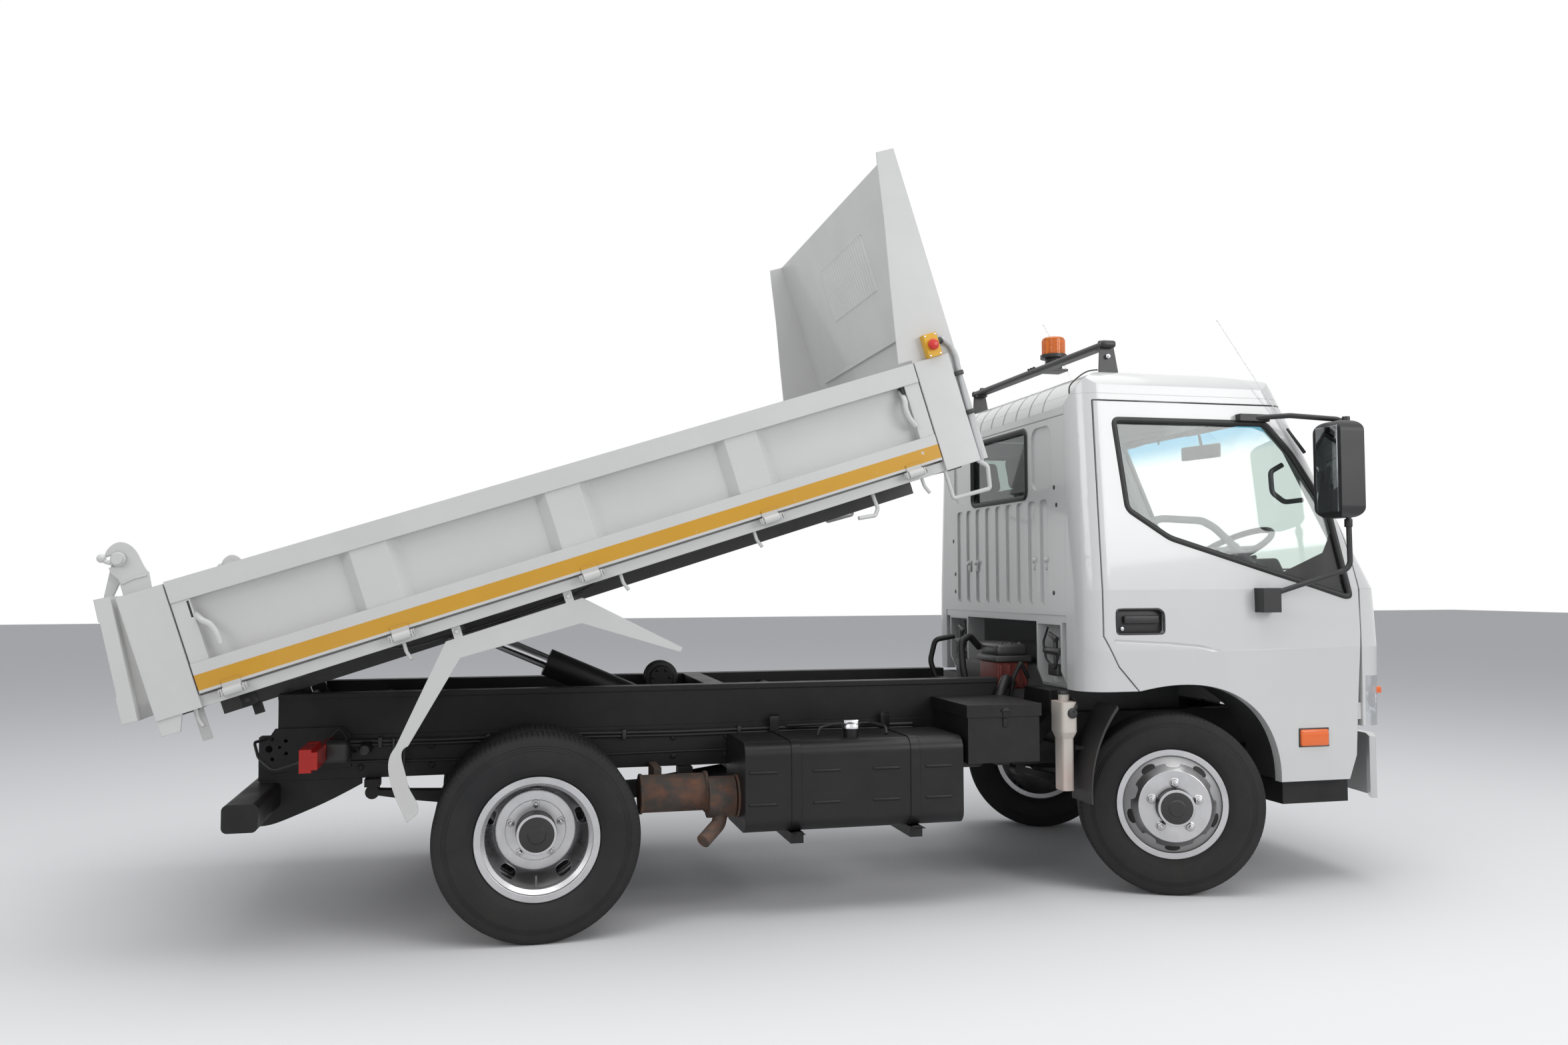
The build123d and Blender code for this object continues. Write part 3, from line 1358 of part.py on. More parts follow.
# Rear corner posts with the hooked claws that hold the tailgate's pins, and the tabs below the posts
with BuildPart(bed_frame) as rear_posts:
    for side in sides.values():
        block(
            (post_rear_s, post_inner_rear_s),
            span(side, bed_half_width - post_depth, bed_half_width),
            (rail_bottom_up, side_top - 5),
        )
claw_y = bed_half_width - 40.0
claw_thickness = 12.0
claw_bore = tailgate_pin_radius + running_gap
tab_outline = [(-325, 118), (-324, 57), (-265, 55), (-240, 118)]
for side in sides.values():
    with BuildPart() as claw:
        with BuildSketch(bed_side.offset(-side * claw_y)):
            with BuildLine() as claw_outline:
                hook = Spline(
                    (tailgate_pin_s - 36, tailgate_pin_up + 24),
                    (tailgate_pin_s - 20, tailgate_pin_up + 43),
                    (tailgate_pin_s + 20, tailgate_pin_up + 53),
                    (tailgate_pin_s + 52, tailgate_pin_up + 22),
                    (tailgate_pin_s + 62, tailgate_pin_up - 27),
                    (tailgate_pin_s + 73, tailgate_pin_up - 67),
                )
                Polyline(
                    hook @ 1,
                    (post_inner_rear_s - 42, side_top - 6),
                    (post_rear_s + 16, side_top - 6),
                    (tailgate_pin_s - 19, tailgate_pin_up - 64),
                    (tailgate_pin_s - 36, tailgate_pin_up - 38),
                    hook @ 0,
                )
            make_face(claw_outline.edges())
            with Locations((tailgate_pin_s, tailgate_pin_up)):
                Circle(claw_bore, mode=Mode.SUBTRACT)
            with Locations((tailgate_pin_s - 30, tailgate_pin_up)):
                Rectangle(60, 2 * claw_bore, mode=Mode.SUBTRACT)
        extrude(amount=claw_thickness / 2, both=True)
        with BuildSketch(bed_side.offset(-side * (bed_half_width - 10))):
            with BuildLine():
                Polyline(*tab_outline, close=True)
            make_face()
        extrude(amount=4, both=True)
    rear_posts.part = rear_posts.part + claw.part
save(rear_posts, "rear_posts")

# Mudguards over the rear wheels, carried by the bed: a bent sheet, its outer skirt and a curved rear flap
guard_top = [(1394, -212), (1106, 71), (614, 71), (350, -222)]
guard_inside = [(391, -232), (644, 1), (1076, -15), (1381, -225)]
flap_rear = [(317, -257), (302, -314), (300, -376), (311, -479)]
flap_front = [(353, -463), (362, -440), (353, -374), (356, -313), (375, -236)]
with BuildPart() as bed_mudguards:
    for side in sides.values():
        near, far = sorted((-side * guard_inner_y, -side * guard_outer_y))
        with BuildSketch(bed_side.offset(near)):
            with BuildLine() as sheet_edge:
                flap_curve = Spline(guard_top[-1], *flap_rear)
                flap_back = Spline(
                    (guard_top[-1][0] + 5, guard_top[-1][1] - 3),
                    *[(s + guard_sheet, up) for s, up in flap_rear],
                )
                Polyline(
                    flap_curve @ 0,
                    guard_top[2],
                    guard_top[1],
                    guard_top[0],
                    (guard_top[0][0] - 3, guard_top[0][1] - 3),
                    (guard_top[1][0] - 1, guard_top[1][1] - guard_sheet),
                    (guard_top[2][0] + 1, guard_top[2][1] - guard_sheet),
                    flap_back @ 0,
                )
                Line(flap_curve @ 1, flap_back @ 1)
            make_face(sheet_edge.edges())
        extrude(amount=far - near)
        skirt = -side * (guard_outer_y - guard_sheet / 2)
        with BuildSketch(bed_side.offset(skirt)):
            with BuildLine():
                Polyline(*guard_top, *guard_inside, close=True)
            make_face()
        extrude(amount=guard_sheet / 2, both=True)
        with BuildSketch(bed_side.offset(skirt)):
            with BuildLine() as flap_outline:
                outer_curve = Spline(guard_top[-1], *flap_rear)
                inner_curve = Spline(*flap_front, guard_inside[0])
                Line(outer_curve @ 1, inner_curve @ 0)
                Line(inner_curve @ 1, outer_curve @ 0)
            make_face(flap_outline.edges())
        extrude(amount=guard_sheet / 2, both=True)
        for s in (660, 1060):
            with BuildSketch(bed_side.offset(near)):
                with Locations((s, rail_bottom_up - 20)):
                    Rectangle(30, 40)
            extrude(amount=far - near)
save(bed_mudguards, "bed_mudguards")

# Stop switch on top of the right front post: a box with a round button on its outer face
switch_s = (2620.0, 2676.0)
switch_height = 90.0
switch_out_y = bed_half_width + 16.0
with BuildPart(bed_frame) as stop_switch:
    block(switch_s, (-switch_out_y, -headboard_half), (side_top, side_top + switch_height))
    with Locations((sum(switch_s) / 2, -switch_out_y, side_top + switch_height / 2)):
        Cylinder(18, 30, rotation=(90, 0, 0))
save(stop_switch, "stop_switch")

# Drop sides, hinged along their lower edges: a panel with deep rails, pressed ribs and end strips
rail_top_depth = 75.0
rail_low_top = 257.0
rib_places = (465.0, 1150.0, 1825.0)
rib_face_half = 62.0
rib_foot_half = 100.0
end_strip = 60.0
panel_sheet = 4.0
hinge_pin_radius = 8.0
sleeve_radius = 15.0


def make_drop_side(side):
    """One drop side; side is -1 for the truck's right and 1 for its left."""
    outer = bed_half_width
    inner = outer - side_wall
    ends = (post_inner_rear_s + seam_gap, post_inner_front_s - seam_gap)
    with BuildPart(bed_frame) as drop_side:
        block(ends, span(side, inner, outer), (side_top - rail_top_depth, side_top))
        block(ends, span(side, inner, outer), (side_bottom, rail_low_top))
        block(ends, span(side, inner, inner + panel_sheet), (side_bottom, side_top))
        for end_s in (ends[0], ends[1] - end_strip):
            block((end_s, end_s + end_strip), span(side, inner, outer - 4), (side_bottom, side_top))
        for s in hinge_places:
            block(
                (s - hinge_half, s + hinge_half),
                span(side, outer - 12, outer + 4),
                (hinge_up, side_bottom + 20),
            )
            with Locations(Location((s, side * hinge_y, hinge_up), (0, 90, 0))):
                Cylinder(sleeve_radius, 2 * hinge_half)
                Cylinder(hinge_pin_radius + running_gap, 2 * hinge_half + 4, mode=Mode.SUBTRACT)
    with BuildPart() as ribs:
        for s in rib_places:
            with BuildSketch(bed_frame.offset(rail_low_top - 1)):
                with BuildLine():
                    Polyline(
                        (s - rib_foot_half, side * (inner + 1)),
                        (s - rib_face_half, side * (outer - 7)),
                        (s + rib_face_half, side * (outer - 7)),
                        (s + rib_foot_half, side * (inner + 1)),
                        close=True,
                    )
                make_face()
            extrude(amount=side_top - rail_top_depth - rail_low_top + 2)
    drop_side.part = drop_side.part + ribs.part
    return drop_side


for name, side in sides.items():
    save(make_drop_side(side), f"drop_side_{name}")

# Tailgate, hung from its top pins and standing a few degrees open
gate_lean = radians(bed_tilt - tailgate_ajar)
gate_frame = Plane(
    origin=bed_frame.from_local_coords((tailgate_pin_s, 0, tailgate_pin_up)),
    x_dir=(cos(gate_lean), 0, sin(gate_lean)),
    z_dir=(-sin(gate_lean), 0, cos(gate_lean)),
)
gate_side = Plane(origin=gate_frame.origin, x_dir=gate_frame.x_dir, z_dir=(0, -1, 0))
gate_face = post_rear_s - 5 - tailgate_pin_s
gate_back = gate_face - tailgate_wall
gate_low = side_bottom - 30 - tailgate_pin_up
gate_high = side_top - tailgate_pin_up
gate_half = bed_half_width - 5
arm_y = bed_half_width - 64.0
arm_thickness = 12.0
with BuildPart(gate_frame) as tailgate:
    block((gate_back, gate_face), (-gate_half, gate_half), (gate_low, gate_low + 90))
    block((gate_back, gate_face), (-gate_half, gate_half), (gate_high - rail_top_depth, gate_high))
    block((gate_face - panel_sheet, gate_face), (-gate_half, gate_half), (gate_low, gate_high))
    for y in (-gate_half + end_strip / 2, gate_half - end_strip / 2):
        block((gate_back + 4, gate_face), (y - end_strip / 2, y + end_strip / 2), (gate_low, gate_high))
    for side in sides.values():
        rod(0, 0, span(side, arm_y - arm_thickness / 2, claw_y + 30), tailgate_pin_radius)
with BuildPart() as gate_ribs:
    for y in (-450.0, 0.0, 450.0):
        with BuildSketch(gate_frame.offset(gate_low + 89)):
            with BuildLine():
                Polyline(
                    (gate_face - 1, y - rib_foot_half),
                    (gate_back + 7, y - rib_face_half),
                    (gate_back + 7, y + rib_face_half),
                    (gate_face - 1, y + rib_foot_half),
                    close=True,
                )
            make_face()
        extrude(amount=gate_high - rail_top_depth - gate_low - 88)
    for side in sides.values():
        with BuildSketch(gate_side.offset(-side * arm_y)):
            with BuildLine():
                Polyline(
                    (gate_back + 7, gate_high - 20),
                    (gate_face - 4, gate_high - 20),
                    (gate_face - 4, gate_high + 2),
                    (24, -14),
                    (-16, 24),
                    close=True,
                )
            make_face()
            Circle(tailgate_pin_radius + 11)
        extrude(amount=arm_thickness / 2, both=True)
tailgate.part = tailgate.part + gate_ribs.part
save(tailgate, "tailgate")

# Hoist cylinder between the subframe and the bed
hoist_eye = bed_frame.from_local_coords((hoist_eye_s, 0, hoist_eye_up))
hoist_foot = Vector(hoist_foot_x, 0, hoist_foot_z)
hoist_line = hoist_eye - hoist_foot
hoist_length = hoist_line.length
hoist_dir = hoist_line.normalized()
barrel_length = 840.0
barrel_radius = 58.0
rod_start = 400.0
with BuildPart() as hoist_barrel:
    with BuildSketch(Plane(origin=hoist_foot + hoist_dir * 36, x_dir=(0, 1, 0), z_dir=hoist_dir)):
        Circle(barrel_radius)
    extrude(amount=barrel_length - 36)
    with BuildSketch(Plane(origin=hoist_foot + hoist_dir * 60, x_dir=(0, 1, 0), z_dir=hoist_dir)):
        Circle(31)
    extrude(amount=barrel_length + 10, mode=Mode.SUBTRACT)
    rod(hoist_foot_x, hoist_foot_z, (-55, 55), 44.0)
    rod(hoist_foot_x, hoist_foot_z, (-60, 60), 20 + running_gap, mode=Mode.SUBTRACT)
save(hoist_barrel, "hoist_barrel")

with BuildPart() as hoist_rod:
    with BuildSketch(Plane(origin=hoist_foot + hoist_dir * rod_start, x_dir=(0, 1, 0), z_dir=hoist_dir)):
        Circle(31 - running_gap)
    extrude(amount=hoist_length - rod_start - 30)
    rod(hoist_eye.X, hoist_eye.Z, (-eye_ear_y + 6, eye_ear_y - 6), 38.0)
    rod(hoist_eye.X, hoist_eye.Z, (-eye_ear_y + running_gap, eye_ear_y - running_gap), eye_pin_radius)
save(hoist_rod, "hoist_rod")
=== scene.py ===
"""Finishes, small parts and the camera for a light dump truck with its bed raised.

Everything is in metres in the CAD model's own frame: +X forwards, +Y left, +Z up.
"""

from math import cos, radians, sin, tau

import bmesh
import bpy
from mathutils import Matrix, Vector


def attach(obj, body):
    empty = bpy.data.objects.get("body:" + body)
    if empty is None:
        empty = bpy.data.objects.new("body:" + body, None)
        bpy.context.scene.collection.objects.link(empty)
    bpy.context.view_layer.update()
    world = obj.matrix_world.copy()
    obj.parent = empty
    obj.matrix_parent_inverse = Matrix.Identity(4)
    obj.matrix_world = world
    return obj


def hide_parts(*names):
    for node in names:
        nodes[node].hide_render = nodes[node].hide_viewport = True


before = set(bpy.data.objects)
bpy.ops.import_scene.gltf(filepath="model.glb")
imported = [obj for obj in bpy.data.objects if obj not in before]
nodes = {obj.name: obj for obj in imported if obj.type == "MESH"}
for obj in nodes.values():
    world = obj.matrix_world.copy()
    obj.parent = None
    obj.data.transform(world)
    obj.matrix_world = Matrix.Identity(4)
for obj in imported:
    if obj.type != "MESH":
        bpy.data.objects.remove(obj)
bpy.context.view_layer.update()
scene = bpy.context.scene

RIGHT = -1
LEFT = 1
SIDES = {"right": RIGHT, "left": LEFT}

# Places shared with the CAD model
REAR_AXLE_X = -1.075
FRONT_AXLE_X = 1.541
AXLE_Z = 0.369
BED_TILT = radians(17.6)
BED_PIVOT = Vector((-1.958, 0.0, 0.826))
STEER = radians(-21.0)


def bed_point(along, y, up):
    """A point of the bed's own frame: along its floor from the pivot, across, and square to the floor."""
    rise, run = sin(BED_TILT), cos(BED_TILT)
    return BED_PIVOT + Vector((along * run - up * rise, y, along * rise + up * run))


BED_MATRIX = Matrix.Translation(BED_PIVOT) @ Matrix.Rotation(-BED_TILT, 4, "Y")


# Shader helpers
def feed(tree, socket, value):
    """Links another node's output to an input socket, or sets the socket's plain value."""
    if isinstance(value, bpy.types.NodeSocket):
        tree.links.new(value, socket)
    else:
        socket.default_value = value


def add_node(tree, kind, settings=None, **sockets):
    """A new shader node; settings are its own options, the rest are values or links for its inputs."""
    node = tree.nodes.new(kind)
    for key, value in (settings or {}).items():
        setattr(node, key, value)
    for key, value in sockets.items():
        feed(tree, node.inputs[key.replace("_", " ")], value)
    return node


def calculate(tree, operation, *values, kind="ShaderNodeMath", output="Value", **settings):
    """One output of a maths node that is fed with numbers or other outputs."""
    node = add_node(tree, kind, {"operation": operation, **settings})
    for socket, value in zip(node.inputs, values):
        feed(tree, socket, value)
    return node.outputs[output]


def carry(tree, value, settings=None, **limits):
    """A value carried from one range to another and held at both ends."""
    return add_node(tree, "ShaderNodeMapRange", settings, Value=value, **limits).outputs["Result"]


def add_noise(tree, place, **sockets):
    """A noise texture's value at a place."""
    return add_node(tree, "ShaderNodeTexNoise", Vector=place, **sockets).outputs["Fac"]


def mix_colours(tree, factor, first, second):
    """A mix of two colours, each a value or an output."""
    node = add_node(tree, "ShaderNodeMix", {"data_type": "RGBA"}, Factor=factor)
    feed(tree, node.inputs[6], first)
    feed(tree, node.inputs[7], second)
    return node.outputs[2]


def object_place(tree):
    """Where a point lies in its object's own frame, in metres."""
    return add_node(tree, "ShaderNodeTexCoord").outputs["Object"]


def axis_of(tree, vector, axis):
    """One axis of a vector."""
    return add_node(tree, "ShaderNodeSeparateXYZ", Vector=vector).outputs[axis]


def add_bump(tree, strength, height, normal, distance):
    """A normal bent by a height."""
    values = {"Strength": strength, "Height": height, "Normal": normal, "Distance": distance}
    return add_node(tree, "ShaderNodeBump", **values).outputs["Normal"]


def build_worn_surface():
    """A painted or moulded surface: two tones, dust that thickens downwards, worn edges and a fine bump."""
    inputs = {
        "Colour": (0.8, 0.8, 0.8, 1.0),
        "Second Colour": (0.7, 0.7, 0.7, 1.0),
        "Tone Scale": 3.0,
        "Tone": 0.3,
        "Dust Colour": (0.35, 0.31, 0.26, 1.0),
        "Dust": 0.2,
        "Dust Top": 1.0,
        "Edge Colour": (0.8, 0.8, 0.8, 1.0),
        "Edge": 0.0,
        "Smooth": 0.3,
        "Rough": 0.5,
        "Bump Scale": 300.0,
        "Bump": 0.05,
        "Dent Scale": 4.0,
        "Dent": 0.0,
    }
    group = bpy.data.node_groups.new("worn_surface", "ShaderNodeTree")
    for socket, default in inputs.items():
        kind = "NodeSocketColor" if isinstance(default, tuple) else "NodeSocketFloat"
        group.interface.new_socket(socket, in_out="INPUT", socket_type=kind).default_value = default
    for socket, kind in (("Colour", "Color"), ("Roughness", "Float"), ("Normal", "Vector")):
        group.interface.new_socket(socket, in_out="OUTPUT", socket_type=f"NodeSocket{kind}")
    given = group.nodes.new("NodeGroupInput").outputs
    results = group.nodes.new("NodeGroupOutput").inputs
    here = object_place(group)
    tone = add_noise(group, here, Scale=given["Tone Scale"], Detail=5.0, Roughness=0.6)
    tone = calculate(group, "MULTIPLY", carry(group, tone, From_Min=0.4, From_Max=0.7), given["Tone"])
    colour = mix_colours(group, tone, given["Colour"], given["Second Colour"])

    # Worn edges: where a rounded normal leaves the flat one
    rounded = add_node(group, "ShaderNodeBevel", {"samples": 4}, Radius=0.004).outputs["Normal"]
    flat = add_node(group, "ShaderNodeNewGeometry").outputs["Normal"]
    agreement = calculate(group, "DOT_PRODUCT", rounded, flat, kind="ShaderNodeVectorMath")
    edge = carry(group, agreement, From_Min=0.995, From_Max=0.85, To_Min=0.0, To_Max=1.0)
    chips = carry(group, add_noise(group, here, Scale=60.0, Detail=3.0), From_Min=0.42, From_Max=0.6)
    edge = calculate(group, "MULTIPLY", calculate(group, "MULTIPLY", edge, chips), given["Edge"])
    colour = mix_colours(group, edge, colour, given["Edge Colour"])

    # Dust: thicker low down and on faces that look up
    height = axis_of(group, here, "Z")
    limits = {"From_Min": 0.0, "From_Max": given["Dust Top"], "To_Min": 1.0, "To_Max": 0.0}
    low = carry(group, height, {"interpolation_type": "SMOOTHSTEP"}, **limits)
    grime = add_noise(group, here, Scale=7.0, Detail=6.0, Roughness=0.65)
    dust = calculate(group, "MULTIPLY", low, carry(group, grime, From_Min=0.3, From_Max=0.75))
    lying = carry(group, axis_of(group, flat, "Z"), From_Min=0.5, From_Max=1.0, To_Min=0.0, To_Max=0.35)
    dust = calculate(group, "ADD", dust, lying, use_clamp=True)
    dust = calculate(group, "MULTIPLY", dust, given["Dust"], use_clamp=True)
    feed(group, results["Colour"], mix_colours(group, dust, colour, given["Dust Colour"]))

    rough = carry(group, grime, To_Min=given["Smooth"], To_Max=given["Rough"])
    rough = calculate(group, "MULTIPLY_ADD", dust, 0.45, rough, use_clamp=True)
    feed(group, results["Roughness"], rough)

    dents = add_noise(group, here, Scale=given["Dent Scale"], Detail=1.0)
    fine = add_noise(group, here, Scale=given["Bump Scale"], Detail=2.0)
    dented = add_bump(group, given["Dent"], dents, rounded, 0.02)
    feed(group, results["Normal"], add_bump(group, given["Bump"], fine, dented, 0.001))
    return group


WORN_SURFACE = build_worn_surface()


def new_material(name, **values):
    """A Principled material; values are plain numbers or colours of its own sockets."""
    material = bpy.data.materials.new(name)
    material.use_nodes = True
    shader = material.node_tree.nodes["Principled BSDF"]
    for key, value in values.items():
        shader.inputs[key.replace("_", " ")].default_value = value
    return material, material.node_tree, shader


def worn(name, colour, **values):
    """A worn_surface material; values go to the group's sockets, or else to the Principled shader's."""
    material, tree, shader = new_material(name)
    group = add_node(tree, "ShaderNodeGroup", {"name": "worn", "node_tree": WORN_SURFACE})
    values = {"Colour": colour, "Second_Colour": tuple(c * 0.8 for c in colour), **values}
    for key, value in values.items():
        key = key.replace("_", " ")
        socket = group.inputs[key] if key in group.inputs else shader.inputs[key]
        socket.default_value = (*value, 1.0) if isinstance(value, tuple) else value
    for output, socket in (("Colour", "Base Color"), ("Roughness", "Roughness"), ("Normal", "Normal")):
        tree.links.new(group.outputs[output], shader.inputs[socket])
    return material


cab_paint = worn(
    "cab_paint", (0.60, 0.605, 0.60), Tone=0.1, Dust=0.12, Dust_Top=1.1, Smooth=0.12, Rough=0.3,
    Coat_Weight=0.5, Coat_Roughness=0.05,
)
bed_paint = worn(
    "bed_paint", (0.59, 0.592, 0.582), Tone=0.25, Dust=0.18, Dust_Top=2.0, Smooth=0.22, Rough=0.5,
    Dent=0.12, Dent_Scale=5.0, Coat_Weight=0.2, Coat_Roughness=0.1,
)
chassis_paint = worn(
    "chassis_paint", (0.008, 0.008, 0.009), Second_Colour=(0.018, 0.017, 0.016), Tone=0.5, Tone_Scale=12.0,
    Dust_Colour=(0.06, 0.055, 0.048), Dust=0.25, Dust_Top=1.0, Edge_Colour=(0.06, 0.055, 0.05), Edge=0.6,
    Smooth=0.3, Rough=0.6, Specular_IOR_Level=0.3,
)
tank_paint = worn(
    "tank_paint", (0.009, 0.009, 0.010), Second_Colour=(0.018, 0.018, 0.018), Tone=0.4,
    Dust_Colour=(0.06, 0.055, 0.05), Dust=0.2, Smooth=0.25, Rough=0.5, Specular_IOR_Level=0.3,
)
engine_iron = worn(
    "engine_iron", (0.075, 0.076, 0.078), Tone=0.8, Tone_Scale=9.0, Dust=0.2, Dust_Top=1.2, Bump=0.3,
    Metallic=0.3
)
rusty_steel = worn(
    "rusty_steel", (0.035, 0.028, 0.025), Second_Colour=(0.15, 0.055, 0.024), Tone=1.0, Tone_Scale=18.0,
    Dust=0.3, Smooth=0.6, Rough=0.9, Bump=0.5, Bump_Scale=220.0,
)
black_plastic = worn(
    "black_plastic", (0.018, 0.018, 0.019), Dust_Colour=(0.1, 0.095, 0.09), Dust=0.3, Bump=0.25,
    Bump_Scale=700.0
)
dash_plastic = worn("dash_plastic", (0.10, 0.10, 0.105), Dust=0.05, Smooth=0.5, Rough=0.7, Bump=0.3)
seat_cloth = worn(
    "seat_cloth", (0.12, 0.12, 0.13), Tone_Scale=200.0, Tone=0.6, Dust=0.05, Smooth=0.8, Rough=0.95,
    Sheen_Weight=0.3,
)
rod_chrome = worn("rod_chrome", (0.7, 0.7, 0.72), Tone=0.2, Dust=0.1, Smooth=0.08, Rough=0.25, Metallic=1.0)
wheel_chrome = worn(
    "wheel_chrome", (0.60, 0.60, 0.615), Second_Colour=(0.42, 0.42, 0.43), Tone=0.5, Tone_Scale=8.0,
    Dust_Colour=(0.22, 0.20, 0.18), Dust=0.3, Dust_Top=0.7, Smooth=0.16, Rough=0.38, Metallic=1.0,
)
tyre_rubber = worn(
    "tyre_rubber", (0.014, 0.014, 0.015), Second_Colour=(0.028, 0.026, 0.025), Tone_Scale=6.0, Tone=0.6,
    Dust_Colour=(0.08, 0.073, 0.062), Dust=0.2, Dust_Top=0.5, Smooth=0.55, Rough=0.8, Bump=0.3,
    Bump_Scale=500.0, Specular_IOR_Level=0.3,
)
rack_finish = worn("rack_finish", (0.02, 0.02, 0.021), Dust=0.1, Bump=0.1)
yellow_plastic = worn("yellow_plastic", (0.75, 0.42, 0.02), Dust=0.1, Tone=0.2)
milky_plastic = worn(
    "milky_plastic", (0.60, 0.575, 0.52), Dust_Colour=(0.66, 0.30, 0.27), Tone=0.3, Dust=0.9, Dust_Top=0.86,
    Subsurface_Weight=0.15,
)
hub_black = worn(
    "hub_black", (0.016, 0.016, 0.017), Dust_Colour=(0.08, 0.075, 0.07), Dust=0.35, Smooth=0.28, Rough=0.5
)
seal_rubber = worn(
    "seal_rubber", (0.015, 0.015, 0.015), Dust_Colour=(0.09, 0.085, 0.08), Dust=0.2, Smooth=0.4, Rough=0.6
)
# Near black for flat marks at holes and vents: painted shade.
painted_hole_shade = worn("painted_hole_shade", (0.004, 0.004, 0.004), Dust=0.05, Smooth=0.8)
grey_plastic = worn("grey_plastic", (0.52, 0.53, 0.53), Dust=0.15, Tone=0.3)
amber_plastic = worn("amber_plastic", (0.80, 0.135, 0.008), Dust=0.1, Coat_Weight=0.6)
beacon_amber = worn("beacon_amber", (0.85, 0.17, 0.010), Dust=0.05, Coat_Weight=0.6)
button_red = worn("button_red", (0.62, 0.02, 0.015), Dust=0.1, Coat_Weight=0.3)
engine_paint = worn(
    "engine_paint", (0.20, 0.026, 0.020), Tone=0.7, Tone_Scale=14.0, Dust=0.4, Dust_Top=1.4, Rough=0.7
)
mirror_silver = worn(
    "mirror_silver", (0.86, 0.87, 0.88), Dust=0.05, Smooth=0.04, Rough=0.1, Bump=0.0, Metallic=1.0
)
disc_silver = worn(
    "disc_silver", (0.50, 0.50, 0.505), Tone=0.3, Dust=0.2, Dust_Top=0.7, Smooth=0.32, Rough=0.5,
    Metallic=0.55
)
mirror_dark = worn(
    "mirror_dark", (0.30, 0.31, 0.32), Dust=0.03, Smooth=0.03, Rough=0.06, Bump=0.0, Metallic=1.0
)

# Heights above the bed's pivot of the amber stripe's edges and of the floor plate's underside
STRIPE_LOW = 0.1640
STRIPE_HIGH = 0.2185
PLATE_UNDERSIDE = 0.1110


def bed_height(tree):
    """How far a point lies above the bed's pivot, square to its floor, in metres."""
    vector = "ShaderNodeVectorMath"
    moved = calculate(tree, "SUBTRACT", object_place(tree), BED_PIVOT, kind=vector, output="Vector")
    return calculate(tree, "DOT_PRODUCT", moved, (-sin(BED_TILT), 0.0, cos(BED_TILT)), kind=vector)


def stripe_mask(tree):
    """The worn stripe along the lower half of a drop side's outer face."""
    up = bed_height(tree)
    here = object_place(tree)
    out = calculate(tree, "ABSOLUTE", axis_of(tree, here, "Y"))
    wear = add_noise(tree, here, Scale=16.0, Detail=8.0, Roughness=0.75)
    mask = carry(tree, up, From_Min=STRIPE_LOW, From_Max=STRIPE_LOW + 0.0015)
    for other in (
        carry(tree, up, From_Min=STRIPE_HIGH, From_Max=STRIPE_HIGH - 0.0015),
        carry(tree, out, From_Min=0.912, From_Max=0.918),
        carry(tree, wear, From_Min=0.70, From_Max=0.66),
    ):
        mask = calculate(tree, "MULTIPLY", mask, other)
    return mask


def bearer_and_shade_mask(tree):
    """Everything under the bed floor's plate: the bearers' black paint, and painted shade under the raised
    bed.
    """
    return carry(tree, bed_height(tree), From_Min=PLATE_UNDERSIDE, From_Max=PLATE_UNDERSIDE - 0.002)


def two_colour_paint(name, build_mask, colour, second):
    """The bed's paint with other colours where a mask says so."""
    material = bed_paint.copy()
    material.name = name
    tree = material.node_tree
    mask = build_mask(tree)
    for socket, other in (("Colour", colour), ("Second Colour", second)):
        surface = tree.nodes["worn"].inputs[socket]
        feed(tree, surface, mix_colours(tree, mask, surface.default_value[:], (*other, 1.0)))
    return material


striped_paint = two_colour_paint("striped_paint", stripe_mask, (0.58, 0.30, 0.012), (0.47, 0.23, 0.01))
# Black under the floor plate: partly the bearers' own black paint, partly painted shade under the raised bed.
floor_paint_and_shade = two_colour_paint("floor_paint_and_shade", bearer_and_shade_mask, (0.010, 0.010, 0.011), (0.02, 0.019, 0.018))


def build_glass(name, colour, clearness=1.0, strip=None):
    """Clear or tinted glass with a faint film of dust, and an optional darker strip above a height."""
    shade = (*colour, 1.0)
    material, tree, shader = new_material(name, Transmission_Weight=clearness, IOR=1.45, Base_Color=shade)
    here = object_place(tree)
    film = add_noise(tree, here, Scale=9.0, Detail=4.0)
    feed(tree, shader.inputs["Roughness"], carry(tree, film, To_Min=0.0, To_Max=0.06))
    if strip:
        low, high, tint = strip
        height = axis_of(tree, here, "Z")
        band = carry(tree, height, {"interpolation_type": "SMOOTHSTEP"}, From_Min=low, From_Max=high)
        feed(tree, shader.inputs["Base Color"], mix_colours(tree, band, shade, (*tint, 1.0)))
    return material


LENS_CLEARNESS = 0.55
clear_glass = build_glass("clear_glass", (0.86, 0.93, 0.9))
screen_glass = build_glass("screen_glass", (0.86, 0.93, 0.9), 1.0, (1.86, 1.98, (0.12, 0.42, 0.62)))
dark_glass = build_glass("dark_glass", (0.3, 0.36, 0.34))
amber_lens = build_glass("amber_lens", (1.0, 0.28, 0.02), LENS_CLEARNESS)
red_lens = build_glass("red_lens", (0.7, 0.02, 0.01), LENS_CLEARNESS)
lamp_glass = build_glass("lamp_glass", (0.80, 0.82, 0.84), LENS_CLEARNESS)

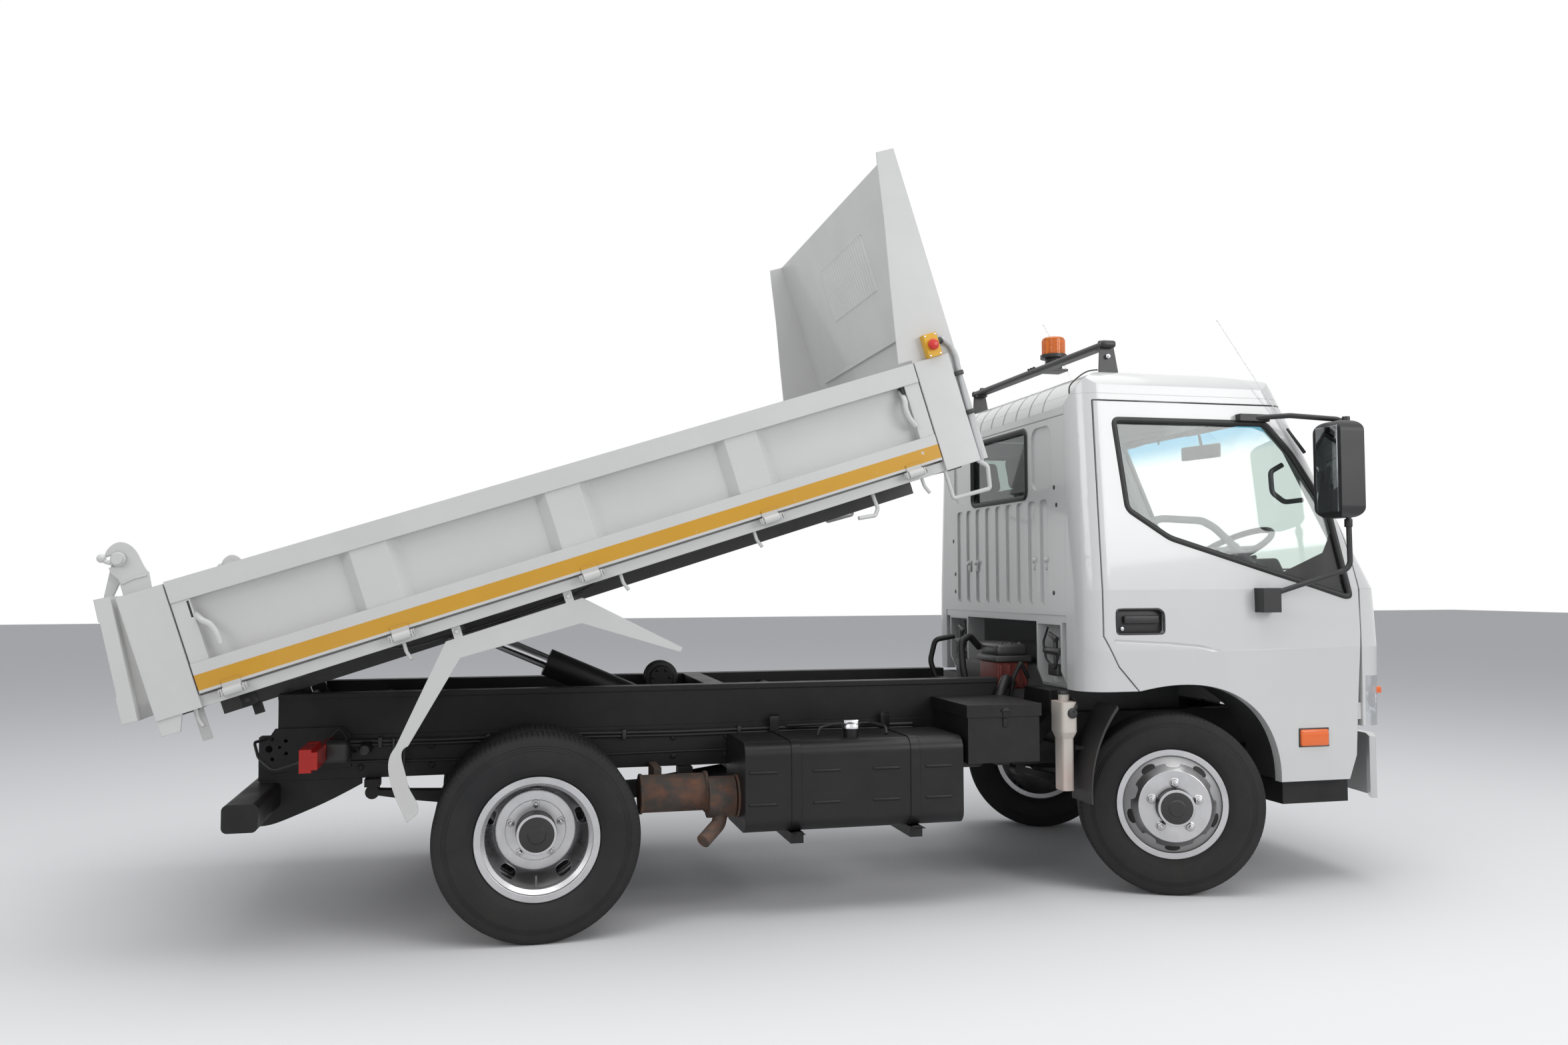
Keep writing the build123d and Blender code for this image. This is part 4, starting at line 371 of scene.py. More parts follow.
FINISHES = {
    cab_paint: (
        "cab_roof cab_back_wall cab_side_frames cab_front_panel right_door left_door cab_floor front_bumper"
    ),
    bed_paint: "headboard rear_posts bed_mudguards tailgate",
    floor_paint_and_shade: "bed_floor",
    striped_paint: "drop_side_right drop_side_left",
    chassis_paint: (
        "chassis_frame subframe front_axle rear_axle leaf_springs drive_shaft underrun_bar cab_rear_mounts "
        "battery_box hoist_barrel knuckle_right knuckle_left cab_steps"
    ),
    tank_paint: "fuel_tank",
    engine_iron: "engine",
    rusty_steel: "exhaust",
    black_plastic: "front_mudflaps right_mirror left_mirror steering_wheel",
    dash_plastic: "dashboard",
    seat_cloth: "seats",
    rod_chrome: "hoist_rod",
    wheel_chrome: "front_rim_right front_rim_left rear_rims_right rear_rims_left",
    tyre_rubber: "front_tyre_right front_tyre_left rear_tyres_right rear_tyres_left",
    rack_finish: "roof_rack",
    yellow_plastic: "stop_switch",
    milky_plastic: "coolant_reservoir",
    clear_glass: "right_door_glass left_door_glass",
    screen_glass: "windscreen",
    dark_glass: "rear_window",
    amber_lens: "beacon",
    red_lens: "tail_lamps",
    lamp_glass: "headlamps",
}
for material, names in FINISHES.items():
    for name in names.split():
        materials = nodes[name].data.materials
        materials.clear()
        materials.append(material)


# Mesh helpers: every shape is built in its final place
SHARP_ANGLE = radians(35.0)


def facing(direction):
    """A turn that carries local Z to a direction."""
    return Vector(direction).to_track_quat("Z", "Y").to_matrix().to_4x4()


def soften_edges(mesh, edges, reach):
    """Rounds edges off in three steps."""
    bmesh.ops.bevel(
        mesh, geom=edges, offset=reach, affect="EDGES", segments=3, profile=0.5, material=-1,
        clamp_overlap=True
    )


def add_block(mesh, corner, opposite, soft=0.0, place=None):
    """A block between two opposite corners, its edges softened, in the frame of a placing matrix."""
    first, last = Vector(corner), Vector(opposite)
    size = [abs(reach) for reach in last - first]
    matrix = (place or Matrix()) @ Matrix.Translation((first + last) / 2) @ Matrix.Diagonal((*size, 1.0))
    made = bmesh.ops.create_cube(mesh, size=1.0, matrix=matrix)
    if soft:
        soften_edges(mesh,
                     list(dict.fromkeys(edge for vert in made["verts"] for edge in vert.link_edges)), soft)


def add_bar(mesh, start, end, radius, end_radius=None, steps=24, soft=0.0, place=None):
    """A round bar, cone or disc between two points, its rims softened."""
    start, end = Vector(start), Vector(end)
    made = bmesh.ops.create_cone(
        mesh,
        cap_ends=True,
        segments=steps,
        radius1=radius,
        radius2=radius if end_radius is None else end_radius,
        depth=(end - start).length,
        matrix=(place or Matrix()) @ Matrix.Translation((start + end) / 2) @ facing(end - start),
    )
    if soft:
        edges = dict.fromkeys(edge for vert in made["verts"] for edge in vert.link_edges)
        rims = [edge for edge in edges if any(len(face.verts) == steps for face in edge.link_faces)]
        bmesh.ops.bevel(mesh, geom=rims, offset=soft, affect="EDGES", segments=3, profile=0.5, material=-1)


def add_turned(mesh, profile, place, steps=48):
    """A full turn of (radius, height) points about the local Z axis of a placing matrix."""
    verts = [mesh.verts.new(place @ Vector((radius, 0.0, height))) for radius, height in profile]
    edges = [mesh.edges.new(pair) for pair in zip(verts, verts[1:])]
    bmesh.ops.spin(
        mesh,
        geom=verts + edges,
        cent=place.to_translation(),
        axis=place.to_3x3() @ Vector((0.0, 0.0, 1.0)),
        angle=tau,
        steps=steps,
        use_merge=True,
        use_duplicate=False,
    )


def close_mesh(mesh):
    """Joins points that coincide and turns every face outwards."""
    bmesh.ops.remove_doubles(mesh, verts=mesh.verts, dist=0.00002)
    bmesh.ops.recalc_face_normals(mesh, faces=mesh.faces)


def mesh_data(name, mesh):
    """A mesh's data block, with the working mesh set free."""
    data = bpy.data.meshes.new(name)
    mesh.to_mesh(data)
    mesh.free()
    return data


def add_object(name, data):
    """A new object in the scene."""
    made = bpy.data.objects.new(name, data)
    scene.collection.objects.link(made)
    return made


def add_piece(name, data, material, body):
    """A mesh or curve as a named piece with one material, riding on a body."""
    data.materials.append(material)
    piece = add_object(name, data)
    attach(piece, body)
    return piece


def finish_piece(name, mesh, material, body):
    """Closes up a mesh as a named piece."""
    close_mesh(mesh)
    data = mesh_data(name, mesh)
    data.shade_smooth()
    data.set_sharp_from_angle(angle=SHARP_ANGLE)
    return add_piece(name, data, material, body)


def round_curve(name, points, radius, detail, closed=False):
    """A round curve along its points."""
    curve = bpy.data.curves.new(name, "CURVE")
    curve.dimensions = "3D"
    curve.bevel_depth = radius
    curve.bevel_resolution = 3
    curve.resolution_u = detail
    curve.use_fill_caps = True
    line = curve.splines.new("NURBS")
    line.points.add(len(points) - 1)
    for point, spot in zip(line.points, points):
        point.co = (*spot, 1.0)
    line.order_u = 3
    line.use_endpoint_u = not closed
    line.use_cyclic_u = closed
    return curve


def bent_rod(name, points, radius, material, body, reach=0.03, closed=False):
    """A rigid round rod along straight runs, its corners bent within a reach of each."""
    spots = [Vector(point) for point in points]
    count = len(spots)
    route = []
    for index, spot in enumerate(spots):
        if not closed and index in (0, count - 1):
            route.append(spot)
            continue
        runs = [other - spot for other in (spots[index - 1], spots[(index + 1) % count])]
        before, after = (spot + run.normalized() * min(reach, run.length * 0.45) for run in runs)
        route += [before, spot, after]
    return add_piece(name, round_curve(name, route, radius, 6, closed), material, body)


def free_cord(name, points, diameter, material, body):
    """A cord along one smooth line through its route's points."""
    cord = add_piece(name, round_curve(name, points, diameter / 2, 12), material, body)


# Tyres: ribbed tread with sipes, and fine rings on the walls
TYRE_RADIUS = 0.369
TYRE_HALF = 0.098
RIM_HALF = 0.070
WHEEL_OFFSET = 0.117
DISC_THICKNESS = 0.010
KINGPIN_Y = 0.600
FRONT_RIM_Y = 0.723
OUTER_RIM_Y = 0.754
INNER_RIM_Y = 0.520
TREAD_GROOVES = (0.024, 0.060)
GROOVE_HALF = 0.0035
GROOVE_DEPTH = 0.008
TREAD_STEPS = 120
TREAD_INNER = 0.3555
SMALL_FACE = 0.00012
SIPE_WIDTH = 0.0012
SIPE_DEPTH = 0.0025
STUD_COUNT = 5
STUD_CIRCLE = 0.096
VENT_PLACE = (0.172, 0.0, 0.0915)
VENT_SIZE = (0.019, 0.030, 0.0022)
VENT_LEAN = radians(40.0)
HUB_RADIUS = 0.0738


def tyre_half_profile():
    """One half of the tyre's section from the bead to the middle of the tread, as (radius, height) points."""
    points = [(0.2065, RIM_HALF - 0.008), (0.2235, RIM_HALF - 0.0005)]
    wall = ((0.242, 9), (0.255, 5.2), (0.268, 2.4), (0.281, 0.9), (0.293, 0.4), (0.305, 0.8))
    points += [(radius, TYRE_HALF - inset / 1000) for radius, inset in wall]
    for ring in (0.315, 0.323, 0.331):
        edge = TYRE_HALF - 0.0018 - (ring - 0.315) * 0.28
        points += [(ring - 0.0018, edge + 0.0002), (ring, edge - 0.0016), (ring + 0.0018, edge - 0.0004)]
    points += [(0.346, TYRE_HALF - 0.0095), (0.356, TYRE_HALF - 0.0125), (0.3645, TYRE_HALF - 0.018)]
    points += [(TYRE_RADIUS - 0.0008, TYRE_HALF - 0.026)]
    for groove in reversed(TREAD_GROOVES):
        points += [
            (TYRE_RADIUS - 0.0005, groove + GROOVE_HALF),
            (TYRE_RADIUS - GROOVE_DEPTH, groove + GROOVE_HALF - 0.001),
            (TYRE_RADIUS - GROOVE_DEPTH, groove - GROOVE_HALF + 0.001),
            (TYRE_RADIUS - 0.0003, groove - GROOVE_HALF),
        ]
    return points


def add_tyre(mesh, place):
    """A whole tyre round a wheel's axis, with its tread cut into small blocks."""
    half = tyre_half_profile()
    lower = [(radius, -height) for radius, height in reversed(half)]
    inside = [(0.2065, -RIM_HALF + 0.008), (0.2065, RIM_HALF - 0.008)]
    add_turned(mesh, half + lower + inside[1:], place, TREAD_STEPS)
    close_mesh(mesh)
    inverse = place.inverted()
    tread = []
    for face in mesh.faces:
        middle = inverse @ face.calc_center_median()
        radius = Vector((middle.x, middle.y)).length
        if TREAD_INNER < radius < TYRE_RADIUS + 0.001 and face.calc_area() > SMALL_FACE:
            tread.append(face)
    bmesh.ops.inset_individual(mesh, faces=tread, thickness=SIPE_WIDTH, depth=0.0, use_even_offset=True)
    sunk = {vert for face in tread for vert in face.verts}
    rims = {vert for face in tread for edge in face.edges for near in edge.link_faces for vert in near.verts}
    for vert in rims - sunk:
        local = inverse @ vert.co
        flat = Vector((local.x, local.y, 0.0))
        vert.co = place @ (local - flat.normalized() * SIPE_DEPTH)


def wheel_place(x, y, outwards, turn=0.0):
    """The frame of a wheel: its centre, with local Z along the axle and away from the truck."""
    axis = Vector((-sin(turn), cos(turn), 0.0)) * outwards
    return Matrix.Translation((x, y, AXLE_Z)) @ facing(axis)


def front_wheel_place(side):
    """The frame of a steered front wheel at rest."""
    reach = FRONT_RIM_Y - KINGPIN_Y
    x = FRONT_AXLE_X - side * reach * sin(STEER)
    y = side * (KINGPIN_Y + reach * cos(STEER))
    return wheel_place(x, y, side, STEER)


def add_nuts(mesh, place, height):
    """Conical wheel nuts with the studs' square ends standing out of them."""
    for index in range(STUD_COUNT):
        angle = radians(90 + 360 / STUD_COUNT * index)
        x, y = STUD_CIRCLE * cos(angle), STUD_CIRCLE * sin(angle)
        for low, high, radius, end_radius, steps, soft in (
            (-0.002, 0.004, 0.0215, 0.019, 32, 0.0012),
            (0.0, 0.020, 0.0175, 0.016, 6, 0.0015),
            (0.018, 0.030, 0.0095, 0.0085, 4, 0.001),
        ):
            start, end = (x, y, height + low), (x, y, height + high)
            add_bar(mesh, start, end, radius, end_radius, steps, soft, place)


# The sloping part of a front wheel's disc, from its face out to the rim
FRONT_DISC_SKIRT = (
    (0.136, 0.122), (0.142, 0.1205), (0.150, 0.1115), (0.192, 0.0735), (0.199, 0.064), (0.199, 0.052),
    (0.194, 0.052), (0.186, 0.0720), (0.147, 0.1075), (0.136, 0.1125), (0.136, 0.122),
)


def hub_dome(radius, base, top):
    """The profile of a dark hub cover, from its foot to its crown."""
    side = [(radius, base), (radius, top - 0.012), (radius - 0.006, top - 0.004), (radius - 0.022, top)]
    return side + [(0.034, top + 0.0015), (0.030, top + 0.005), (0.012, top + 0.0065), (0.0, top + 0.0065)]


for name, side in SIDES.items():
    place = front_wheel_place(side)
    body = f"{name}_front_wheel"
    tyre = bmesh.new()
    add_tyre(tyre, place)
    tyre_piece = finish_piece(f"front_tread_{name}", tyre, tyre_rubber, body)
    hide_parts(f"front_tyre_{name}")
    nuts = bmesh.new()
    face = WHEEL_OFFSET + DISC_THICKNESS
    add_nuts(nuts, place, face)
    finish_piece(f"front_wheel_nuts_{name}", nuts, wheel_chrome, body)
    skirt = bmesh.new()
    add_turned(skirt, FRONT_DISC_SKIRT, place, 72)
    finish_piece(f"front_disc_skirt_{name}", skirt, disc_silver, body)
    # Flat black ovals on the skirt: painted shade seen through the disc's vent holes.
    vents = bmesh.new()
    for index in range(STUD_COUNT):
        angle = radians(52 + 72 * index) if side == RIGHT else radians(128 - 72 * index)
        spot = place @ Matrix.Rotation(angle, 4, "Z") @ Matrix.Translation(VENT_PLACE)
        lay = spot @ Matrix.Rotation(VENT_LEAN, 4, "Y") @ Matrix.Diagonal((*VENT_SIZE, 1.0))
        bmesh.ops.create_uvsphere(vents, u_segments=32, v_segments=12, radius=1.0, matrix=lay)
    finish_piece(f"front_disc_vents_{name}", vents, painted_hole_shade, body)
    dome = bmesh.new()
    add_turned(dome, hub_dome(HUB_RADIUS, face - 0.004, WHEEL_OFFSET + 0.058), place)
    finish_piece(f"front_hub_cover_{name}", dome, hub_black, body)

    place = wheel_place(REAR_AXLE_X, side * (OUTER_RIM_Y - WHEEL_OFFSET), side)
    body = f"{name}_rear_wheels"
    tyre = bmesh.new()
    for rim_y in (OUTER_RIM_Y, INNER_RIM_Y):
        add_tyre(tyre, wheel_place(REAR_AXLE_X, side * rim_y, side))
    tyre_piece = finish_piece(f"rear_treads_{name}", tyre, tyre_rubber, body)
    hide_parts(f"rear_tyres_{name}")
    nuts = bmesh.new()
    add_nuts(nuts, place, 0.0)
    add_bar(nuts, (0.0, -0.160, 0.060), (0.0, -0.188, 0.150), 0.004, 0.0035, 12, 0.0008, place)
    finish_piece(f"rear_wheel_nuts_{name}", nuts, wheel_chrome, body)
    dome = bmesh.new()
    add_turned(dome, hub_dome(HUB_RADIUS, 0.006, 0.113), place)
    finish_piece(f"rear_hub_cover_{name}", dome, hub_black, body)

# Cab trim
CAB_BACK_X = 1.063
CAB_SIDE = ((0.407, 0.839), (1.0, 0.847), (1.245, 0.841), (2.25, 0.757))
DOOR_WINDOW = (
    (-0.308, 1.943), (0.399, 1.945), (0.515, 1.817), (0.679, 1.565), (0.750, 1.216), (0.726, 1.213),
    (0.393, 1.312), (-0.084, 1.456), (-0.268, 1.573),
)
SEAL_RADIUS = 0.0125
DOOR_SEAL_RADIUS = 0.0135
POCKET_X = 1.306
POCKET_Z = 1.117
LAMP_X = 2.375
LAMP_Z = 0.775
BAR_X = 1.262


def side_y(z):
    """Half-width of the cab's outside at a height."""
    for (low, near), (high, far) in zip(CAB_SIDE, CAB_SIDE[1:]):
        if z <= high:
            return near + (far - near) * (z - low) / (high - low)
    return CAB_SIDE[-1][1]


def screen_spot(y, z, off=0.0):
    """A point on the windscreen's face, or ahead of it."""
    return Vector((2.453 - 0.498 * (z - 1.281) - 0.061 * y * y + off, y, z))


def mirrored(points, side):
    """Points given for the right side, on either side."""
    return [(x, y * -side, z) for x, y, z in points]


# Routes of the handle on the screen pillar and of the rail inside the door, on the right
PILLAR_GRAB = (
    (2.045, -0.745, 1.775), (1.990, -0.740, 1.745), (1.995, -0.742, 1.655), (2.050, -0.748, 1.615),
    (2.135, -0.752, 1.625),
)
DOOR_RAIL = (
    (1.378, -0.765, 1.512), (1.461, -0.745, 1.540), (1.655, -0.742, 1.533), (1.711, -0.745, 1.505),
    (1.878, -0.770, 1.348),
)
for name, side in SIDES.items():
    door = f"{name}_door_body"
    seal = [(FRONT_AXLE_X + dx, side * (side_y(z) - 0.005), z) for dx, z in DOOR_WINDOW]
    bent_rod(f"door_window_seal_{name}", seal, DOOR_SEAL_RADIUS, seal_rubber, door, 0.05, True)

    # Dark quarter at the window's lower front corner
    corner = bmesh.new()
    outline = [(2.180, 1.398), (2.236, 1.50), (2.291, 1.216), (2.267, 1.211), (1.955, 1.305)]
    spots = [(x, side * (side_y(z) - 0.0125), z) for x, z in outline]
    face = corner.faces.new([corner.verts.new(spot) for spot in spots])
    bmesh.ops.solidify(corner, geom=[face], thickness=0.003)
    finish_piece(f"door_window_quarter_{name}", corner, seal_rubber, door)

    # Black pocket, pull handle and lock of the door
    handle = bmesh.new()
    mouth = (POCKET_X, side * (side_y(POCKET_Z) - 0.0225), POCKET_Z)
    lay = Matrix.Translation(mouth) @ facing((0.0, side, 0.0))
    add_block(handle, (-0.107, -0.050, -0.001), (0.107, 0.050, 0.003), 0.0015, lay)
    grip = ((1.236, side * (side_y(1.12) - 0.016), 1.108), (1.392, side * (side_y(1.15) - 0.001), 1.142))
    add_block(handle, *grip, 0.006)
    finish_piece(f"door_handle_{name}", handle, black_plastic, door)
    rim = []
    for dx, dz in ((-1, -1), (1, -1), (1, 0.7), (0.75, 1), (-1, 1)):
        z = POCKET_Z + dz * 0.0505
        rim.append((POCKET_X + dx * 0.1075, side * (side_y(z) - 0.0035), z))
    bent_rod(f"door_handle_rim_{name}", rim, 0.0048, black_plastic, door, 0.034, True)
    lock = bmesh.new()
    lock_y = side * (side_y(1.085) - 0.0195)
    add_bar(lock, (1.232, lock_y, 1.088), (1.232, lock_y + side * 0.006, 1.088), 0.009, 0.008, 24, 0.001)
    finish_piece(f"door_lock_{name}", lock, rod_chrome, door)

    # Amber repeater low on the door
    lens = bmesh.new()
    lens_y = side * side_y(0.626)
    add_block(lens, (2.031, lens_y - side * 0.006, 0.592), (2.164, lens_y + side * 0.013, 0.661), 0.008)
    finish_piece(f"repeater_{name}", lens, amber_plastic, door)
    base = bmesh.new()
    add_block(base, (2.026, lens_y - side * 0.006, 0.588), (2.169, lens_y + side * 0.003, 0.666), 0.0015)
    finish_piece(f"repeater_base_{name}", base, seal_rubber, door)

    # Grab handle on the screen pillar and the rail inside the door
    bent_rod(f"pillar_grab_{name}", mirrored(PILLAR_GRAB, side), 0.011, dash_plastic, "cab", 0.04)
    bent_rod(f"door_rail_{name}", mirrored(DOOR_RAIL, side), 0.016, dash_plastic, door, 0.05)

    # Door mirror: glass, ribbed case and tube collars
    glass = bmesh.new()
    add_block(glass, (2.0755, side * 0.924, 1.558), (2.082, side * 1.056, 1.910), 0.004)
    finish_piece(f"mirror_glass_{name}", glass, mirror_dark, door)
    ribs = bmesh.new()
    for index in range(9):
        y = side * (0.925 + 0.0165 * index)
        add_block(ribs, (2.188, y, 1.575), (2.1925, y + side * 0.006, 1.893), 0.0015)
    for index in range(4):
        x = 2.105 + 0.022 * index
        add_block(ribs, (x, side * 1.070, 1.580), (x + 0.007, side * 1.0745, 1.888), 0.0015)
    for z in (1.50, 1.925):
        add_bar(ribs, (2.195, side * 0.962, z), (2.195, side * 0.963, z + 0.034), 0.016, None, 24, 0.003)
    finish_piece(f"mirror_ribs_{name}", ribs, black_plastic, door)

    # Headlamp: two bowls, an amber turn lamp and a silver plate behind the lens
    bowls = bmesh.new()
    for y, radius in ((0.655, 0.062), (0.775, 0.055)):
        place = Matrix.Translation((LAMP_X, side * y, LAMP_Z)) @ facing((1.0, 0.0, 0.0))
        bowl = [(0.0, 0.0), (radius * 0.45, 0.003), (radius * 0.8, 0.016), (radius, 0.040)]
        add_turned(bowls, bowl + [(radius + 0.004, 0.042)], place, 40)
        add_bar(bowls, (2.376, side * y, LAMP_Z), (2.402, side * y, LAMP_Z), 0.010, 0.007, 16, 0.002)
    finish_piece(f"headlamp_bowls_{name}", bowls, mirror_silver, "cab")
    amber = bmesh.new()
    add_block(amber, (2.395, side * 0.775, 0.800), (2.452, side * 0.822, 0.829), 0.006)
    finish_piece(f"headlamp_amber_{name}", amber, amber_plastic, "cab")
    housing = bmesh.new()
    add_block(housing, (2.358, side * 0.575, 0.682), (2.372, side * 0.798, 0.872), 0.003)
    finish_piece(f"headlamp_housing_{name}", housing, mirror_silver, "cab")

# Black lining of the front wheel arches
ARCH_LINE = (
    (-0.110, 0.868), (0.074, 0.857), (0.140, 0.841), (0.200, 0.817), (0.260, 0.776), (0.313, 0.731),
    (0.350, 0.675), (0.386, 0.607), (0.404, 0.530), (0.410, 0.455),
)
LINER_Y = 0.782
LINER_DEPTH = 0.170
for name, side in SIDES.items():
    liner = bmesh.new()
    line = [liner.verts.new((FRONT_AXLE_X + dx, side * LINER_Y, z)) for dx, z in ARCH_LINE]
    edges = [liner.edges.new(pair) for pair in zip(line, line[1:])]
    made = bmesh.ops.extrude_edge_only(liner, edges=edges)
    inner = [part for part in made["geom"] if isinstance(part, bmesh.types.BMVert)]
    bmesh.ops.translate(liner, verts=inner, vec=(0.0, side * -LINER_DEPTH, 0.0))
    bmesh.ops.solidify(liner, geom=liner.faces[:], thickness=0.003)
    finish_piece(f"arch_liner_{name}", liner, black_plastic, "cab")

# Windscreen and rear window seals
SCREEN_LOW = 1.281
SCREEN_HIGH = 2.008
screen = [screen_spot(y, SCREEN_LOW, 0.007) for y in (-0.700, -0.35, 0.0, 0.35, 0.700)]
screen += [screen_spot(0.669, 1.65, 0.007)]
screen += [screen_spot(y, SCREEN_HIGH, 0.007) for y in (0.637, 0.32, 0.0, -0.32, -0.637)]
screen += [screen_spot(-0.669, 1.65, 0.007)]
bent_rod("windscreen_seal", screen, SEAL_RADIUS, seal_rubber, "cab", 0.06, True)
corners = ((-1, -1), (1, -1), (1, 1), (-1, 1))
rear_seal = [(CAB_BACK_X + 0.003, y * 0.312, 1.802 + z * 0.150) for y, z in corners]
bent_rod("rear_window_seal", rear_seal, SEAL_RADIUS, seal_rubber, "cab", 0.07, True)

# Black bars across the slots of the nose
for index in range(3):
    z = 0.832 - 0.048 * index
    bar = []
    for y in (-0.37, -0.19, 0.0, 0.19, 0.37):
        bar.append((2.500 - 0.0195 - 0.042 * (y / 0.847) ** 2 - 0.0135 * (1.0 - z), y, z))
    bent_rod(f"grille_bar_{index + 1}", bar, 0.0085, black_plastic, "cab", 0.08)

# Wipers parked along the foot of the windscreen
for index, pivot_y in enumerate((-0.33, 0.30)):
    wiper = bmesh.new()
    pivot = screen_spot(pivot_y, 1.290, 0.012)
    tip = screen_spot(pivot_y + 0.40 * (1 if pivot_y < 0 else -1), 1.345, 0.018)
    middle = pivot.lerp(tip, 0.55) + Vector((0.004, 0.0, 0.004))
    add_bar(wiper, pivot, middle, 0.006, 0.004, 12, 0.001)
    bends = ((-0.24, 0.012), (0.0, 0.013), (0.24, 0.012))
    blade = [screen_spot(middle.y + reach, 1.335, off) for reach, off in bends]
    for start, end in zip(blade, blade[1:]):
        add_bar(wiper, start, end, 0.0045, None, 10)
    back, front = pivot - Vector((0.022, 0.0, 0.0)), pivot + Vector((0.008, 0.0, 0.0))
    add_bar(wiper, back, front, 0.011, 0.009, 20, 0.002)
    finish_piece(f"wiper_{index + 1}", wiper, black_plastic, "cab")

# Inside mirror on its stem, and two sun visors
inside = bmesh.new()
lean = Matrix.Translation((2.080, -0.080, 1.900)) @ Matrix.Rotation(radians(14.0), 4, "Z")
add_block(inside, (-0.010, -0.120, -0.034), (0.010, 0.120, 0.034), 0.009, lean)
add_bar(inside, (2.085, -0.080, 1.925), (2.065, -0.080, 2.020), 0.008, 0.006, 16)
finish_piece("inside_mirror", inside, black_plastic, "cab")
visors = bmesh.new()
for y in (-0.42, 0.42):
    lean = Matrix.Translation((1.985, y, 1.985)) @ Matrix.Rotation(radians(-18.0), 4, "Y")
    add_block(visors, (-0.085, -0.190, -0.009), (0.075, 0.190, 0.009), 0.008, lean)
    add_bar(visors, (2.050, y - 0.17, 1.972), (2.056, y - 0.17, 2.045), 0.005, None, 12)
finish_piece("sun_visors", visors, dash_plastic, "cab")

# Dials and levers before the steering wheel
dials = bmesh.new()
lean = Matrix.Translation((2.118, -0.400, 1.315)) @ Matrix.Rotation(radians(-28.0), 4, "Y")
add_block(dials, (-0.060, -0.165, -0.050), (0.060, 0.165, 0.050), 0.020, lean)
for y in (-0.235, -0.565):
    add_bar(dials, (2.03, -0.400, 1.372), (2.03, y, 1.385), 0.0065, 0.009, 14, 0.002)
add_bar(dials, (1.84, -0.085, 1.138), (1.80, -0.085, 1.36), 0.009, 0.007, 14)
add_bar(dials, (1.802, -0.085, 1.352), (1.796, -0.085, 1.395), 0.020, 0.016, 20, 0.006)
finish_piece("dials_and_levers", dials, dash_plastic, "cab")

# Aerials and the roof bar's fittings
aerials = bmesh.new()
add_bar(aerials, (2.113, -0.806, 1.822), (2.036, -0.797, 1.925), 0.0075, 0.0075 * 0.7, 16, 0.002)
add_bar(aerials, (1.600, 0.150, 2.138), (1.585, 0.150, 2.164), 0.013, 0.013 * 0.7, 16, 0.002)
finish_piece("aerial_bases", aerials, black_plastic, "cab")
whips = bmesh.new()
add_bar(whips, (2.040, -0.7975, 1.920), (1.710, -0.800, 2.371), 0.0018, 0.0012, 8)
add_bar(whips, (1.586, 0.150, 2.160), (1.378, 0.150, 2.534), 0.0016, 0.0010, 8)
for tip in ((1.710, -0.800, 2.371), (1.378, 0.150, 2.534)):
    place = Matrix.Translation(tip)
    bmesh.ops.create_uvsphere(whips, u_segments=12, v_segments=8, radius=0.0035, matrix=place)
finish_piece("aerial_whips", whips, rod_chrome, "cab")
rack = bmesh.new()
for side in SIDES.values():
    add_block(rack, (1.2275, side * 0.686, 2.2565), (1.2925, side * 0.712, 2.2875), 0.011)
    add_bar(rack, (BAR_X, side * 0.640, 2.288), (BAR_X, side * 0.640, 2.297), 0.017, 0.014, 24, 0.003)
    add_block(rack, (1.224, side * 0.600, 2.105), (1.324, side * 0.686, 2.117), 0.003)
    for x in (1.24, 1.305):
        add_bar(rack, (x, side * 0.672, 2.116), (x, side * 0.672, 2.124), 0.008, 0.007, 6, 0.001)
for y in (-0.028, 0.0, 0.028):
    add_bar(rack, (1.240, y, 2.284), (1.240, y, 2.292), 0.007, None, 6, 0.001)
finish_piece("rack_fittings", rack, rack_finish, "cab")
bolts = bmesh.new()
for side in SIDES.values():
    add_bar(bolts, (BAR_X, side * 0.684, 2.222), (BAR_X, side * 0.698, 2.222), 0.011, None, 6, 0.002)
    add_bar(bolts, (BAR_X, side * 0.698, 2.222), (BAR_X, side * 0.706, 2.222), 0.005, None, 12, 0.001)
finish_piece("rack_bolts", bolts, rod_chrome, "cab")
free_cord(
    "beacon_wire",
    ((1.222, -0.676, 2.166), (1.190, -0.680, 2.163), (1.150, -0.690, 2.148), (1.100, -0.700, 2.112),
     (1.072, -0.704, 2.080), (1.078, -0.705, 2.050)),
    0.006, seal_rubber, "cab",
)

# Ribbed beacon lens
lens = bmesh.new()
for index in range(36):
    angle = tau * index / 36
    x, y = 1.355 + 0.0525 * cos(angle), 0.0525 * sin(angle)
    add_bar(lens, (x, y, 2.361), (x, y, 2.426), 0.0022, None, 6)
add_bar(lens, (1.355, 0.0, 2.358), (1.355, 0.0, 2.432), 0.018, 0.014, 20, 0.003)
finish_piece("beacon_ribs", lens, beacon_amber, "cab")

# Fixings and small holes of the back wall
holes = bmesh.new()
for y, z in ((0.569, 1.488), (0.545, 1.320), (0.547, 1.232), (-0.600, 1.602), (-0.566, 1.232),
             (-0.58, 1.677)):
    add_bar(holes, (CAB_BACK_X - 0.0008, y, z), (CAB_BACK_X + 0.004, y, z), 0.010, None, 20, 0.0003)
finish_piece("back_wall_plugs", holes, seal_rubber, "cab")
studs = bmesh.new()
for y in (-0.383, -0.500, 0.36, 0.27):
    add_bar(studs, (CAB_BACK_X - 0.010, y, 1.373), (CAB_BACK_X + 0.010, y, 1.373), 0.011, 0.014, 16, 0.003)
    add_block(studs, (CAB_BACK_X - 0.002, y - 0.012, 1.330), (CAB_BACK_X + 0.008, y + 0.012, 1.372), 0.004)
finish_piece("back_wall_studs", studs, cab_paint, "cab")


